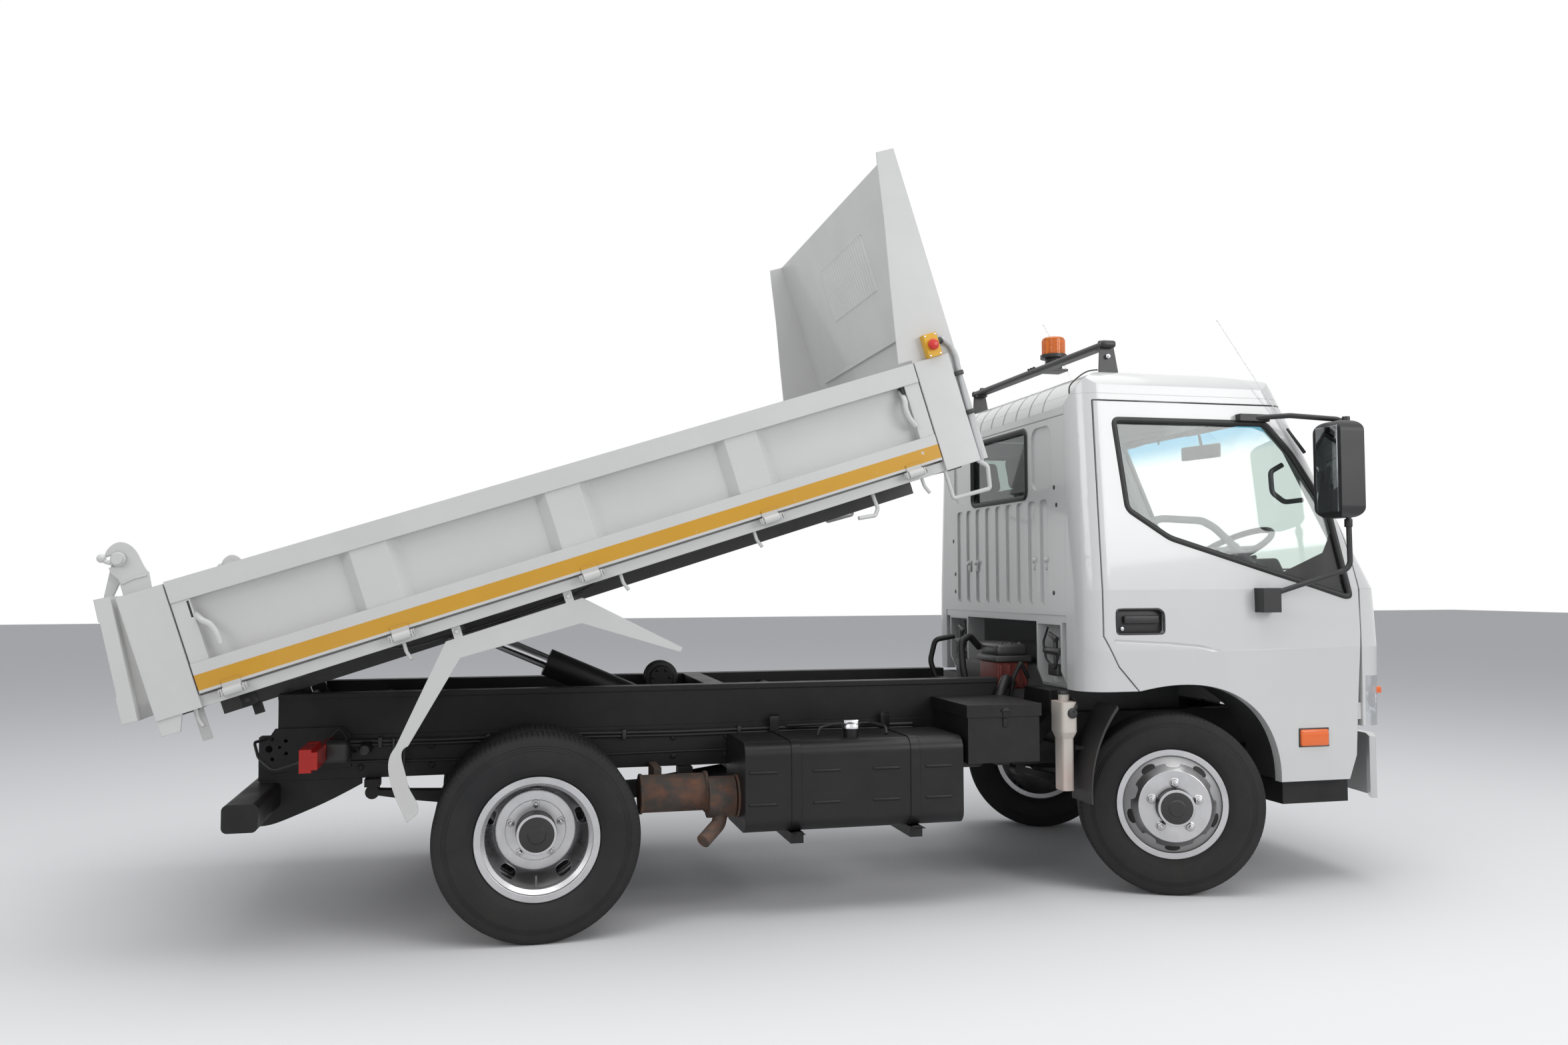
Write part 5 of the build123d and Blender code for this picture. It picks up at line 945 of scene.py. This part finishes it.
# Bed fittings; places are (along, out from the middle, up) in the bed's own frame
def bed_spots(points, side):
    """Points of the bed's frame on one side of the truck, in the truck's frame."""
    return [bed_point(along, y * side, up) for along, y, up in points]


HOOK_PLACES = (-0.204, 0.485, 1.264, 1.780, 2.470)
HINGE_PLACES = (-0.071, 0.485, 1.158, 1.844, 2.433)
HINGE_Y = 0.940
HINGE_UP = 0.137
LONG_HOOK = ((2.262, 0.880, 0.112), (2.262, 0.892, 0.052), (2.240, 0.905, 0.030), (2.168, 0.925, 0.040))
POST_LOOP = (
    (2.562, 0.905, 0.112), (2.562, 0.905, 0.000), (2.712, 0.918, -0.006), (2.729, 0.920, 0.080),
    (2.700, 0.912, 0.112),
)
CLAW_LEVER = (
    (-0.292, 0.905, 0.652), (-0.308, 0.908, 0.648), (-0.322, 0.908, 0.657), (-0.330, 0.908, 0.669),
)
CLAW_BEAD = ((-0.300, 0.897, 0.575), (-0.262, 0.897, 0.582), (-0.222, 0.897, 0.580))
CLAW_UP = 0.655
for name, side in SIDES.items():
    panel = f"{name}_drop_side"

    # Bent handles in the end panels of the drop side
    for number, route in (
        (1, ((-0.126, 0.895, 0.428), (-0.098, 0.934, 0.386), (-0.076, 0.936, 0.364), (-0.067, 0.935, 0.334),
             (-0.066, 0.932, 0.292))),
        (2, ((2.486, 0.895, 0.452), (2.478, 0.934, 0.412), (2.470, 0.936, 0.378), (2.474, 0.935, 0.344),
             (2.492, 0.932, 0.306))),
    ):
        bent_rod(f"drop_handle_{name}_{number}", bed_spots(route, side), 0.0105, bed_paint, panel, 0.02)
    # Black blocks in the slots where the handles enter the end panels: painted shade.
    slots = bmesh.new()
    for s, up in ((-0.1225, 0.430), (2.4835, 0.455)):
        low, high = (s - 0.004, side * 0.8905, up - 0.028), (s + 0.004, side * 0.9262, up + 0.030)
        add_block(slots, low, high, 0.001, BED_MATRIX)
    finish_piece(f"drop_handle_slots_{name}", slots, seal_rubber, panel)

    # Rope hooks under the edge rail, one long hook and the loop below the front post
    for index, s in enumerate(HOOK_PLACES):
        hook = ((s - 0.004, 0.893, 0.112), (s - 0.004, 0.896, 0.078), (s + 0.006, 0.904, 0.048))
        bent_rod(f"rope_hook_{name}_{index + 1}", bed_spots(hook, side), 0.0065, bed_paint, "bed", 0.012)
    bent_rod(f"long_hook_{name}", bed_spots(LONG_HOOK, side), 0.0075, bed_paint, "bed", 0.016)
    bent_rod(f"post_loop_{name}", bed_spots(POST_LOOP, side), 0.0085, bed_paint, "bed", 0.022)

    # Washers at both ends of each hinge
    washers = bmesh.new()
    for s in HINGE_PLACES:
        for end in (s - 0.0445, s + 0.0415):
            spots = (end, side * HINGE_Y, HINGE_UP), (end + 0.003, side * HINGE_Y, HINGE_UP)
            add_bar(washers, *spots, 0.0125, None, 24, 0.0008, BED_MATRIX)
    finish_piece(f"hinge_washers_{name}", washers, bed_paint, "bed")

    # Ball-ended lever of the tailgate claw, and the pin's bolt head
    bent_rod(f"claw_lever_{name}", bed_spots(CLAW_LEVER, side), 0.0075, bed_paint, "bed", 0.012)
    knob = bmesh.new()
    place = Matrix.Translation(bed_point(-0.332, side * 0.908, 0.672))
    bmesh.ops.create_uvsphere(knob, u_segments=24, v_segments=16, radius=0.0145, matrix=place)
    for near, far, radius, end_radius, steps, soft in (
        (0.900, 0.911, 0.024, 0.023, 32, 0.003),
        (0.909, 0.914, 0.004, 0.003, 12, 0.001),
    ):
        spots = (-0.287, side * near, CLAW_UP), (-0.287, side * far, CLAW_UP)
        add_bar(knob, *spots, radius, end_radius, steps, soft, BED_MATRIX)
    finish_piece(f"claw_knob_{name}", knob, bed_paint, "bed")

    # Weld beads where the claw's plates meet the rear post
    bent_rod(f"claw_bead_{name}", bed_spots(CLAW_BEAD, side), 0.004, bed_paint, "bed", 0.01)

    # Catch plates under the tail of the bed
    catch = bmesh.new()
    add_block(catch, (-0.078, side * 0.800, 0.066), (-0.030, side * 0.860, 0.112), 0.003, BED_MATRIX)
    add_block(catch, (-0.056, side * 0.806, 0.028), (-0.022, side * 0.812, 0.070), 0.002, BED_MATRIX)
    finish_piece(f"tail_catch_{name}", catch, chassis_paint, "bed")
    # Flat black disc on the catch plate: painted shade in its hole.
    hole = bmesh.new()
    spots = (-0.055, side * 0.8595, 0.086), (-0.055, side * 0.8612, 0.086)
    add_bar(hole, *spots, 0.008, None, 20, 0.0, BED_MATRIX)
    finish_piece(f"tail_catch_hole_{name}", hole, seal_rubber, "bed")
    stay = bmesh.new()
    add_block(stay, (-0.242, side * 0.782, -0.004), (-0.208, side * 0.788, 0.112), 0.004, BED_MATRIX)
    finish_piece(f"tail_stay_{name}", stay, bed_paint, "bed")

# Cable to the stop switch, over the front post's edge, and the switch's red button
conduit = (
    (2.674, 0.922, 0.592), (2.704, 0.921, 0.598), (2.728, 0.920, 0.566), (2.737, 0.920, 0.520),
    (2.731, 0.920, 0.465), (2.718, 0.920, 0.236), (2.716, 0.918, 0.150), (2.716, 0.905, 0.095),
)
bent_rod("switch_conduit", bed_spots(conduit, RIGHT), 0.010, grey_plastic, "bed", 0.03)
gland = bmesh.new()
add_bar(gland, (2.676, -0.922, 0.592), (2.700, -0.922, 0.5975), 0.0145, 0.012, 20, 0.003, BED_MATRIX)
for up in (0.455, 0.300):
    add_block(gland, (2.706, -0.935, up - 0.009), (2.742, -0.926, up + 0.009), 0.002, BED_MATRIX)
finish_piece("conduit_fittings", gland, black_plastic, "bed")
button = bmesh.new()
place = BED_MATRIX @ Matrix.Translation((2.648, -0.944, 0.585)) @ facing((0.0, -1.0, 0.0))
crown = [(0.0, 0.024), (0.012, 0.0235), (0.0185, 0.020), (0.0212, 0.014), (0.0205, 0.008)]
add_turned(button, crown + [(0.0190, 0.0035), (0.0190, 0.0)], place, 40)
finish_piece("stop_button", button, button_red, "bed")
screws = bmesh.new()
for s in (2.627, 2.669):
    for up in (0.547, 0.623):
        add_bar(screws, (s, -0.9455, up), (s, -0.9475, up), 0.0042, 0.0035, 16, 0.0005, BED_MATRIX)
finish_piece("switch_screws", screws, rod_chrome, "bed")

# Cable that sags above the right mudguard
SAG = (
    (0.425, 0.112), (0.455, 0.096), (0.515, 0.085), (0.60, 0.0835), (0.70, 0.0825), (0.80, 0.0815),
    (0.92, 0.083), (1.06, 0.088), (1.15, 0.097), (1.19, 0.112),
)
free_cord("bed_cable", [bed_point(s, -0.852, up) for s, up in SAG], 0.011, seal_rubber, "bed")

# Bolt heads on the mudguard stays
guard_bolts = bmesh.new()
for side in SIDES.values():
    for s in (0.660, 1.060):
        spots = (s, side * 0.901, 0.092), (s, side * 0.907, 0.092)
        add_bar(guard_bolts, *spots, 0.009, 0.008, 6, 0.001, BED_MATRIX)
finish_piece("guard_bolts", guard_bolts, bed_paint, "bed")

# Tank: straps cut from its own shell, ribs, cap and pipes
STRAP_HALF = 0.019
STRAP_FOOT = 0.3285
for index, x in enumerate((-0.105, 0.373)):
    strap = bmesh.new()
    strap.from_mesh(nodes["fuel_tank"].data)
    bmesh.ops.remove_doubles(strap, verts=strap.verts, dist=0.00005)
    for way in (1.0, -1.0):
        place, direction = (x + way * STRAP_HALF, 0.0, 0.0), (way, 0.0, 0.0)
        parts = strap.verts[:] + strap.edges[:] + strap.faces[:]
        bmesh.ops.bisect_plane(strap, geom=parts, plane_co=place, plane_no=direction, clear_outer=True)
    low_faces = [face for face in strap.faces if face.calc_center_median().z < STRAP_FOOT]
    bmesh.ops.delete(strap, geom=low_faces, context="FACES")
    bmesh.ops.solidify(strap, geom=strap.faces[:], thickness=-0.0035)
    finish_piece(f"tank_strap_{index + 1}", strap, tank_paint, "chassis")
ribs = bmesh.new()
for x in (-0.235, 0.015, 0.255, 0.470):
    for z in (0.440, 0.560):
        add_bar(ribs, (x - 0.055, -0.7535, z), (x + 0.055, -0.7535, z), 0.0065, None, 16, 0.004)
finish_piece("tank_ribs", ribs, tank_paint, "chassis")
cap = bmesh.new()
place = Matrix.Translation((0.140, -0.660, 0.712)) @ facing((0.0, 0.0, 1.0))
crown = [(0.0, 0.020), (0.020, 0.019), (0.033, 0.014), (0.0365, 0.008), (0.0365, -0.006), (0.031, -0.010)]
add_turned(cap, crown, place)
add_block(cap, (0.110, -0.666, 0.728), (0.170, -0.654, 0.738), 0.003)
finish_piece("tank_cap", cap, rod_chrome, "chassis")
for index, route in enumerate((
    ((0.02, -0.60, 0.675), (0.03, -0.60, 0.705), (0.10, -0.56, 0.712), (0.24, -0.50, 0.704),
     (0.33, -0.40, 0.690)),
    ((0.30, -0.62, 0.675), (0.30, -0.61, 0.700), (0.26, -0.52, 0.708), (0.10, -0.44, 0.700),
     (-0.05, -0.372, 0.690)),
)):
    bent_rod(f"tank_pipe_{index + 1}", route, 0.0065, seal_rubber, "chassis", 0.03)

# Frame rails: bolt heads, painted shade in holes, brake pipe and cable runs
RAIL_FACE_Y = 0.350
RAIL_HOLES = ((-1.60, 0.625), (-1.585, 0.600), (-1.30, 0.62), (-0.70, 0.565), (-0.42, 0.63), (0.11, 0.60))
frame_bolts = bmesh.new()
frame_holes = bmesh.new()
for side in SIDES.values():
    face_y = side * RAIL_FACE_Y
    for x in (-1.72, -1.46, -1.20, -0.86, -0.52, -0.30, 0.02, 0.58):
        for z in (0.580, 0.655):
            add_bar(frame_bolts, (x, face_y, z), (x, face_y + side * 0.008, z), 0.0105, None, 6, 0.0015)
            add_bar(frame_bolts, (x, face_y, z), (x, face_y + side * 0.0015, z), 0.014, None, 20)
    # Flat black discs on the rails: painted shade in the holes.
    for x, z in RAIL_HOLES:
        add_bar(frame_holes, (x, face_y, z), (x, face_y + side * 0.0006, z), 0.007, None, 16)
finish_piece("frame_bolts", frame_bolts, chassis_paint, "chassis")
finish_piece("frame_holes", frame_holes, painted_hole_shade, "chassis")
PIPE_LINE = (
    (-1.955, 0.600), (-1.70, 0.604), (-1.42, 0.598), (-0.90, 0.596), (-0.40, 0.600), (0.30, 0.596),
    (0.60, 0.612),
)
bent_rod("brake_pipe", [(x, -0.357, z) for x, z in PIPE_LINE], 0.004, seal_rubber, "chassis", 0.05)
LOOM_LINE = (
    (-1.80, -0.360, 0.0), (-1.40, -0.362, -0.004), (-0.95, -0.360, 0.002), (-0.50, -0.362, -0.003),
    (0.0, -0.361, 0.0), (0.50, -0.362, -0.002),
)
for index, (height, radius) in enumerate(((0.682, 0.008), (0.668, 0.006))):
    route = [(x, y, height + dz) for x, y, dz in LOOM_LINE]
    bent_rod(f"rail_loom_{index + 1}", route, radius, seal_rubber, "chassis", 0.06)
clips = bmesh.new()
for x in (-1.65, -1.25, -0.72, -0.25, 0.25):
    add_block(clips, (x - 0.008, -0.372, 0.655), (x + 0.008, -0.3495, 0.694), 0.002)
finish_piece("loom_clips", clips, black_plastic, "chassis")

# Hoses and lamp cable at the tail
for index, route in enumerate((
    ((-1.845, -0.60, 0.672), (-1.91, -0.600, 0.640), (-1.995, -0.585, 0.612), (-2.05, -0.560, 0.655),
     (-2.075, -0.50, 0.705), (-2.06, -0.365, 0.700)),
    ((-1.83, -0.420, 0.700), (-1.79, -0.425, 0.740), (-1.765, -0.42, 0.700), (-1.77, -0.395, 0.650),
     (-1.74, -0.36, 0.640)),
)):
    bent_rod(f"tail_hose_{index + 1}", route, 0.0055, seal_rubber, "chassis", 0.04)
tail = bmesh.new()
add_block(tail, (-1.832, -0.565, 0.628), (-1.742, -0.480, 0.705), 0.016)
add_bar(tail, (-1.70, -0.440, 0.655), (-1.70, -0.356, 0.655), 0.020, 0.024, 20, 0.004)
for x in (-1.60, -1.56):
    add_bar(tail, (x, -0.380, 0.58), (x, -0.380, 0.69), 0.006, None, 12, 0.001)
finish_piece("tail_lamp_fittings", tail, black_plastic, "chassis")

# Hoist drum and the box beneath it
drum = bmesh.new()
place = Matrix.Translation((-0.505, 0.094, 0.862)) @ facing((0.0, 1.0, 0.0))
DRUM_PROFILE = (
    (0.0, 0.0), (0.050, 0.0), (0.054, 0.006), (0.070, 0.008), (0.074, 0.014), (0.074, 0.020),
    (0.064, 0.026), (0.064, 0.060), (0.074, 0.066), (0.074, 0.074), (0.030, 0.078), (0.0, 0.078),
)
add_turned(drum, DRUM_PROFILE, place)
for index in range(6):
    angle = tau * index / 6
    x, y = 0.038 * cos(angle), 0.038 * sin(angle)
    add_bar(drum, (x, y, -0.006), (x, y, 0.002), 0.006, None, 6, 0.001, place)
add_block(drum, (-0.545, 0.105, 0.740), (-0.465, 0.165, 0.830), 0.006)
finish_piece("hoist_drum", drum, chassis_paint, "chassis")

# Rear axle: spring clamps over the leaves
clamps = bmesh.new()
for side in SIDES.values():
    for x in (-1.120, -1.030):
        for y in (0.395, 0.475):
            add_bar(clamps, (x, side * y, 0.300), (x, side * y, 0.505), 0.008, None, 12, 0.002)
            add_bar(clamps, (x, side * y, 0.505), (x, side * y, 0.517), 0.013, None, 6, 0.002)
        add_block(clamps, (x - 0.014, side * 0.385, 0.494), (x + 0.014, side * 0.485, 0.506), 0.003)
finish_piece("spring_clamps", clamps, chassis_paint, "chassis")

# Battery box latch, and bands round the exhaust
latch = bmesh.new()
add_block(latch, (0.742, -0.759, 0.738), (0.766, -0.7535, 0.778), 0.002)
add_block(latch, (0.736, -0.7625, 0.762), (0.772, -0.7575, 0.772), 0.002)
add_block(latch, (0.745, -0.7535, 0.700), (0.763, -0.7475, 0.735), 0.002)
finish_piece("box_latch", latch, chassis_paint, "chassis")
bands = bmesh.new()
for rear, front, y, z, radius in (
    (-0.432, -0.418, -0.560, 0.468, 0.079),
    (-0.684, -0.672, -0.560, 0.468, 0.077),
    (-0.312, -0.300, -0.590, 0.450, 0.083),
):
    add_bar(bands, (rear, y, z), (front, y, z), radius, None, 48, 0.003)
finish_piece("exhaust_bands", bands, rusty_steel, "chassis")

# Reservoir neck, cap and hose
neck = bmesh.new()
add_bar(neck, (1.055, -0.728, 0.745), (1.055, -0.744, 0.745), 0.022, 0.020, 32, 0.004)
add_bar(neck, (1.0455, -0.6775, 0.818), (1.0455, -0.6775, 0.832), 0.026, 0.024, 24, 0.003)
finish_piece("reservoir_cap", neck, black_plastic, "chassis")
route = (
    (1.055, -0.742, 0.752), (1.072, -0.742, 0.775), (1.085, -0.70, 0.795), (1.10, -0.60, 0.80),
    (1.10, -0.50, 0.78),
)
bent_rod("reservoir_hose", route, 0.006, seal_rubber, "chassis", 0.02)

# Engine seen under the back of the cab: red block, rocker cover and hoses
engine_red = bmesh.new()
add_block(engine_red, (0.935, -0.262, 0.805), (1.085, -0.060, 0.925), 0.010)
for x in (0.952, 0.992, 1.032, 1.068):
    add_block(engine_red, (x - 0.008, -0.270, 0.815), (x + 0.008, -0.258, 0.915), 0.003)
finish_piece("engine_block_red", engine_red, engine_paint, "chassis")
cover = bmesh.new()
add_block(cover, (0.925, -0.275, 0.925), (1.095, -0.050, 0.952), 0.006)
add_block(cover, (0.935, -0.262, 0.948), (1.085, -0.062, 1.003), 0.020)
for x in (0.965, 1.010, 1.055):
    add_bar(cover, (x, -0.235, 1.000), (x, -0.235, 1.010), 0.009, None, 6, 0.002)
finish_piece("rocker_cover", cover, engine_iron, "chassis")
for index, (route, radius) in enumerate((
    (((0.94, -0.05, 0.98), (0.88, -0.08, 1.035), (0.825, -0.11, 1.01), (0.825, -0.13, 0.90),
      (0.84, -0.14, 0.80)), 0.016),
    (((0.985, -0.30, 0.83), (0.945, -0.33, 0.86), (0.90, -0.37, 0.80), (0.87, -0.38, 0.72)), 0.022),
    (((1.05, -0.33, 0.86), (1.01, -0.345, 0.93), (0.98, -0.33, 0.86), (0.975, -0.31, 0.78)), 0.010),
    (((0.86, 0.28, 0.80), (0.83, 0.30, 0.90), (0.86, 0.31, 1.00), (0.95, 0.28, 1.02)), 0.013),
)):
    bent_rod(f"engine_hose_{index + 1}", route, radius, seal_rubber, "chassis", 0.05)

# Catches and cable clutter in the cab's two rear hangers
hangers = bmesh.new()
for side in SIDES.values():
    y = side * 0.51
    add_bar(hangers, (1.085, y - 0.075, 0.985), (1.085, y + 0.075, 0.985), 0.016, None, 24, 0.003)
    out = y + side * 0.02
    add_bar(hangers, (1.085, out, 1.04), (1.085, out, 0.90), 0.011, 0.008, 16, 0.003)
    add_block(hangers, (1.078, y - 0.045, 0.880), (1.110, y + 0.045, 0.930), 0.008)
    add_bar(hangers, (1.075, y - 0.05, 1.035), (1.075, y + 0.02, 1.060), 0.013, 0.009, 16, 0.003)
finish_piece("hanger_catches", hangers, engine_iron, "cab")
for name, side in SIDES.items():
    cable = [(1.080, side * 0.47, 1.085), (1.072, side * 0.44, 1.02), (1.074, side * 0.46, 0.95),
             (1.072, side * 0.55, 0.91), (1.080, side * 0.57, 0.98)]
    bent_rod(f"hanger_cable_{name}", cable, 0.005, seal_rubber, "cab", 0.03)

# Padded seats: a cushion and a back each for the driver and the passengers
CUSHION_VOXEL = 0.011
CLOTH_STEPS = 15
CLOTH_PRESSURE = 4.0
SWELL_LIMIT = 0.011
SEAM_REACH = 0.020
SEAM_DEPTH = 0.009


def soften(cushion):
    """Swells a remeshed pad with cloth, keeping each point within a limit of where it started."""
    start = [vert.co.copy() for vert in cushion.data.vertices]
    cloth = cushion.modifiers.new("cloth", "CLOTH")
    cloth.settings.use_pressure = True
    cloth.settings.uniform_pressure_force = CLOTH_PRESSURE
    cloth.settings.effector_weights.gravity = 0.0
    cloth.settings.quality = 4
    cloth.settings.tension_stiffness = 12.0
    for step in range(1, CLOTH_STEPS + 1):
        scene.frame_set(step)
    graph = bpy.context.evaluated_depsgraph_get()
    swollen = [vert.co.copy() for vert in cushion.evaluated_get(graph).data.vertices]
    cushion.modifiers.remove(cloth)
    scene.frame_set(1)
    for vert, first, last in zip(cushion.data.vertices, start, swollen):
        move = last - first
        vert.co = first + move * min(1.0, SWELL_LIMIT / max(move.length, 1e-6))


def make_pad(name, size, place, channels):
    """A crowned pad with sewn channels across it; size is (depth, width, thickness)."""
    pad = bmesh.new()
    depth, width, thick = size
    add_block(pad, (-depth / 2, -width / 2, -thick / 2), (depth / 2, width / 2, thick / 2), thick * 0.30)
    cushion = add_object(name, mesh_data(name, pad))
    remesh = cushion.modifiers.new("remesh", "REMESH")
    remesh.mode = "VOXEL"
    remesh.voxel_size = CUSHION_VOXEL
    graph = bpy.context.evaluated_depsgraph_get()
    fine = bpy.data.meshes.new_from_object(cushion.evaluated_get(graph))
    cushion.modifiers.remove(remesh)
    cushion.data = fine
    soften(cushion)
    for vert in fine.vertices:
        near = min(abs(vert.co.x - channel) for channel in channels)
        if vert.co.z > 0.0 and near < SEAM_REACH:
            vert.co.z -= SEAM_DEPTH * (1.0 - near / SEAM_REACH) ** 2
    fine.transform(place)
    fine.materials.append(seat_cloth)
    fine.shade_smooth()
    smooth = cushion.modifiers.new("smooth", "SUBSURF")
    smooth.levels = 1
    smooth.render_levels = 1
    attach(cushion, "cab")


SEATS = (("driver", -0.650, -0.180), ("passenger", -0.130, 0.650))
frames = bmesh.new()
for name, low, high in SEATS:
    middle, width = (low + high) / 2, high - low - 0.02
    flat = Matrix.Translation((1.525, middle, 1.213)) @ Matrix.Rotation(radians(-3.0), 4, "Y")
    make_pad(f"{name}_cushion", (0.50, width, 0.115), flat, (-0.13, 0.0, 0.13))
    lean = Matrix.Translation((1.262, middle, 1.515)) @ Matrix.Rotation(radians(78.0), 4, "Y")
    make_pad(f"{name}_back", (0.46, width - 0.03, 0.095), lean, (-0.12, 0.0, 0.12))
    add_block(frames, (1.180, low + 0.02, 1.139), (1.850, high - 0.02, 1.160), 0.006)
    for y in (low + 0.05, high - 0.05):
        add_bar(frames, (1.205, y, 1.16), (1.150, y, 1.42), 0.012, None, 16, 0.003)
seat_frames = finish_piece("seat_frames", frames, black_plastic, "cab")
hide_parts("seats")
for index, y in enumerate((-0.415, 0.02, 0.50)):
    rest = Matrix.Translation((1.205, y, 1.800)) @ Matrix.Rotation(radians(80.0), 4, "Y")
    make_pad(f"head_rest_{index + 1}", (0.150, 0.245, 0.085), rest, (-0.30, 0.30))

# Camera at the photograph's place and angle
EYE = Vector((-1.2469, -5.2889, 1.2776))
YAW = radians(13.6523)
PITCH = radians(2.6386)
ROLL = radians(-0.2143)
FOCAL_LENGTH = 27.94
ahead = Vector((sin(YAW) * cos(PITCH), cos(YAW) * cos(PITCH), sin(PITCH)))
level = Vector((cos(YAW), -sin(YAW), 0.0))
upright = level.cross(ahead)
across = level * cos(ROLL) + upright * sin(ROLL)
above = upright * cos(ROLL) - level * sin(ROLL)
camera_data = bpy.data.cameras.new("camera")
camera_data.lens = FOCAL_LENGTH
camera_data.sensor_width = 36.0
camera_data.shift_x = -0.0009
camera_data.shift_y = 0.0029
scene.camera = add_object("camera", camera_data)
turn = Matrix((across, above, -ahead)).transposed().to_4x4()
scene.camera.matrix_world = Matrix.Translation(EYE) @ turn

# Pale floor and soft studio light
FLOOR_HALF = 40.0
floor_mesh = bmesh.new()
bmesh.ops.create_grid(floor_mesh, x_segments=1, y_segments=1, size=FLOOR_HALF)
floor = add_object("floor", mesh_data("floor", floor_mesh))
floor_material, _, _ = new_material("floor", Base_Color=(0.78, 0.78, 0.785, 1.0), Roughness=0.95)
floor.data.materials.append(floor_material)

# The backdrop is white to the eye and through glass, while a dimmer sky lights the scene
world = bpy.data.worlds.new("studio")
scene.world = world
world.use_nodes = True
studio = world.node_tree
sky = studio.nodes["Background"]
sky.inputs["Color"].default_value = (0.93, 0.95, 1.0, 1.0)
sky.inputs["Strength"].default_value = 0.42
backdrop = add_node(studio, "ShaderNodeBackground", Color=(1.0, 1.0, 1.0, 1.0), Strength=1.0)
ray = add_node(studio, "ShaderNodeLightPath").outputs
shown = ray["Is Camera Ray"]
for kind in ("Is Glossy Ray", "Is Transmission Ray"):
    shown = calculate(studio, "MAXIMUM", shown, ray[kind])
shown = calculate(studio, "MULTIPLY", shown, calculate(studio, "LESS_THAN", ray["Diffuse Depth"], 0.5))
blend = studio.nodes.new("ShaderNodeMixShader")
for socket, value in zip(blend.inputs, (shown, sky.outputs[0], backdrop.outputs[0])):
    feed(studio, socket, value)
feed(studio, studio.nodes["World Output"].inputs["Surface"], blend.outputs[0])


def add_lamp(name, place, target, size, power):
    """A large soft area lamp that looks at a point."""
    lamp = bpy.data.lights.new(name, "AREA")
    lamp.shape = "RECTANGLE"
    lamp.size, lamp.size_y = size
    lamp.energy = power
    look = Vector(target) - Vector(place)
    turned = look.to_track_quat("-Z", "Y").to_matrix().to_4x4()
    add_object(name, lamp).matrix_world = Matrix.Translation(place) @ turned


add_lamp("overhead", (0.0, -1.0, 7.5), (0.0, 0.0, 0.0), (9.0, 7.0), 420.0)
add_lamp("right_front", (5.0, -7.0, 4.0), (0.0, 0.0, 1.0), (4.0, 3.0), 200.0)
add_lamp("right_rear", (-7.0, -6.0, 4.0), (0.0, 0.0, 1.0), (4.0, 3.0), 130.0)

scene.view_settings.view_transform = "Standard"
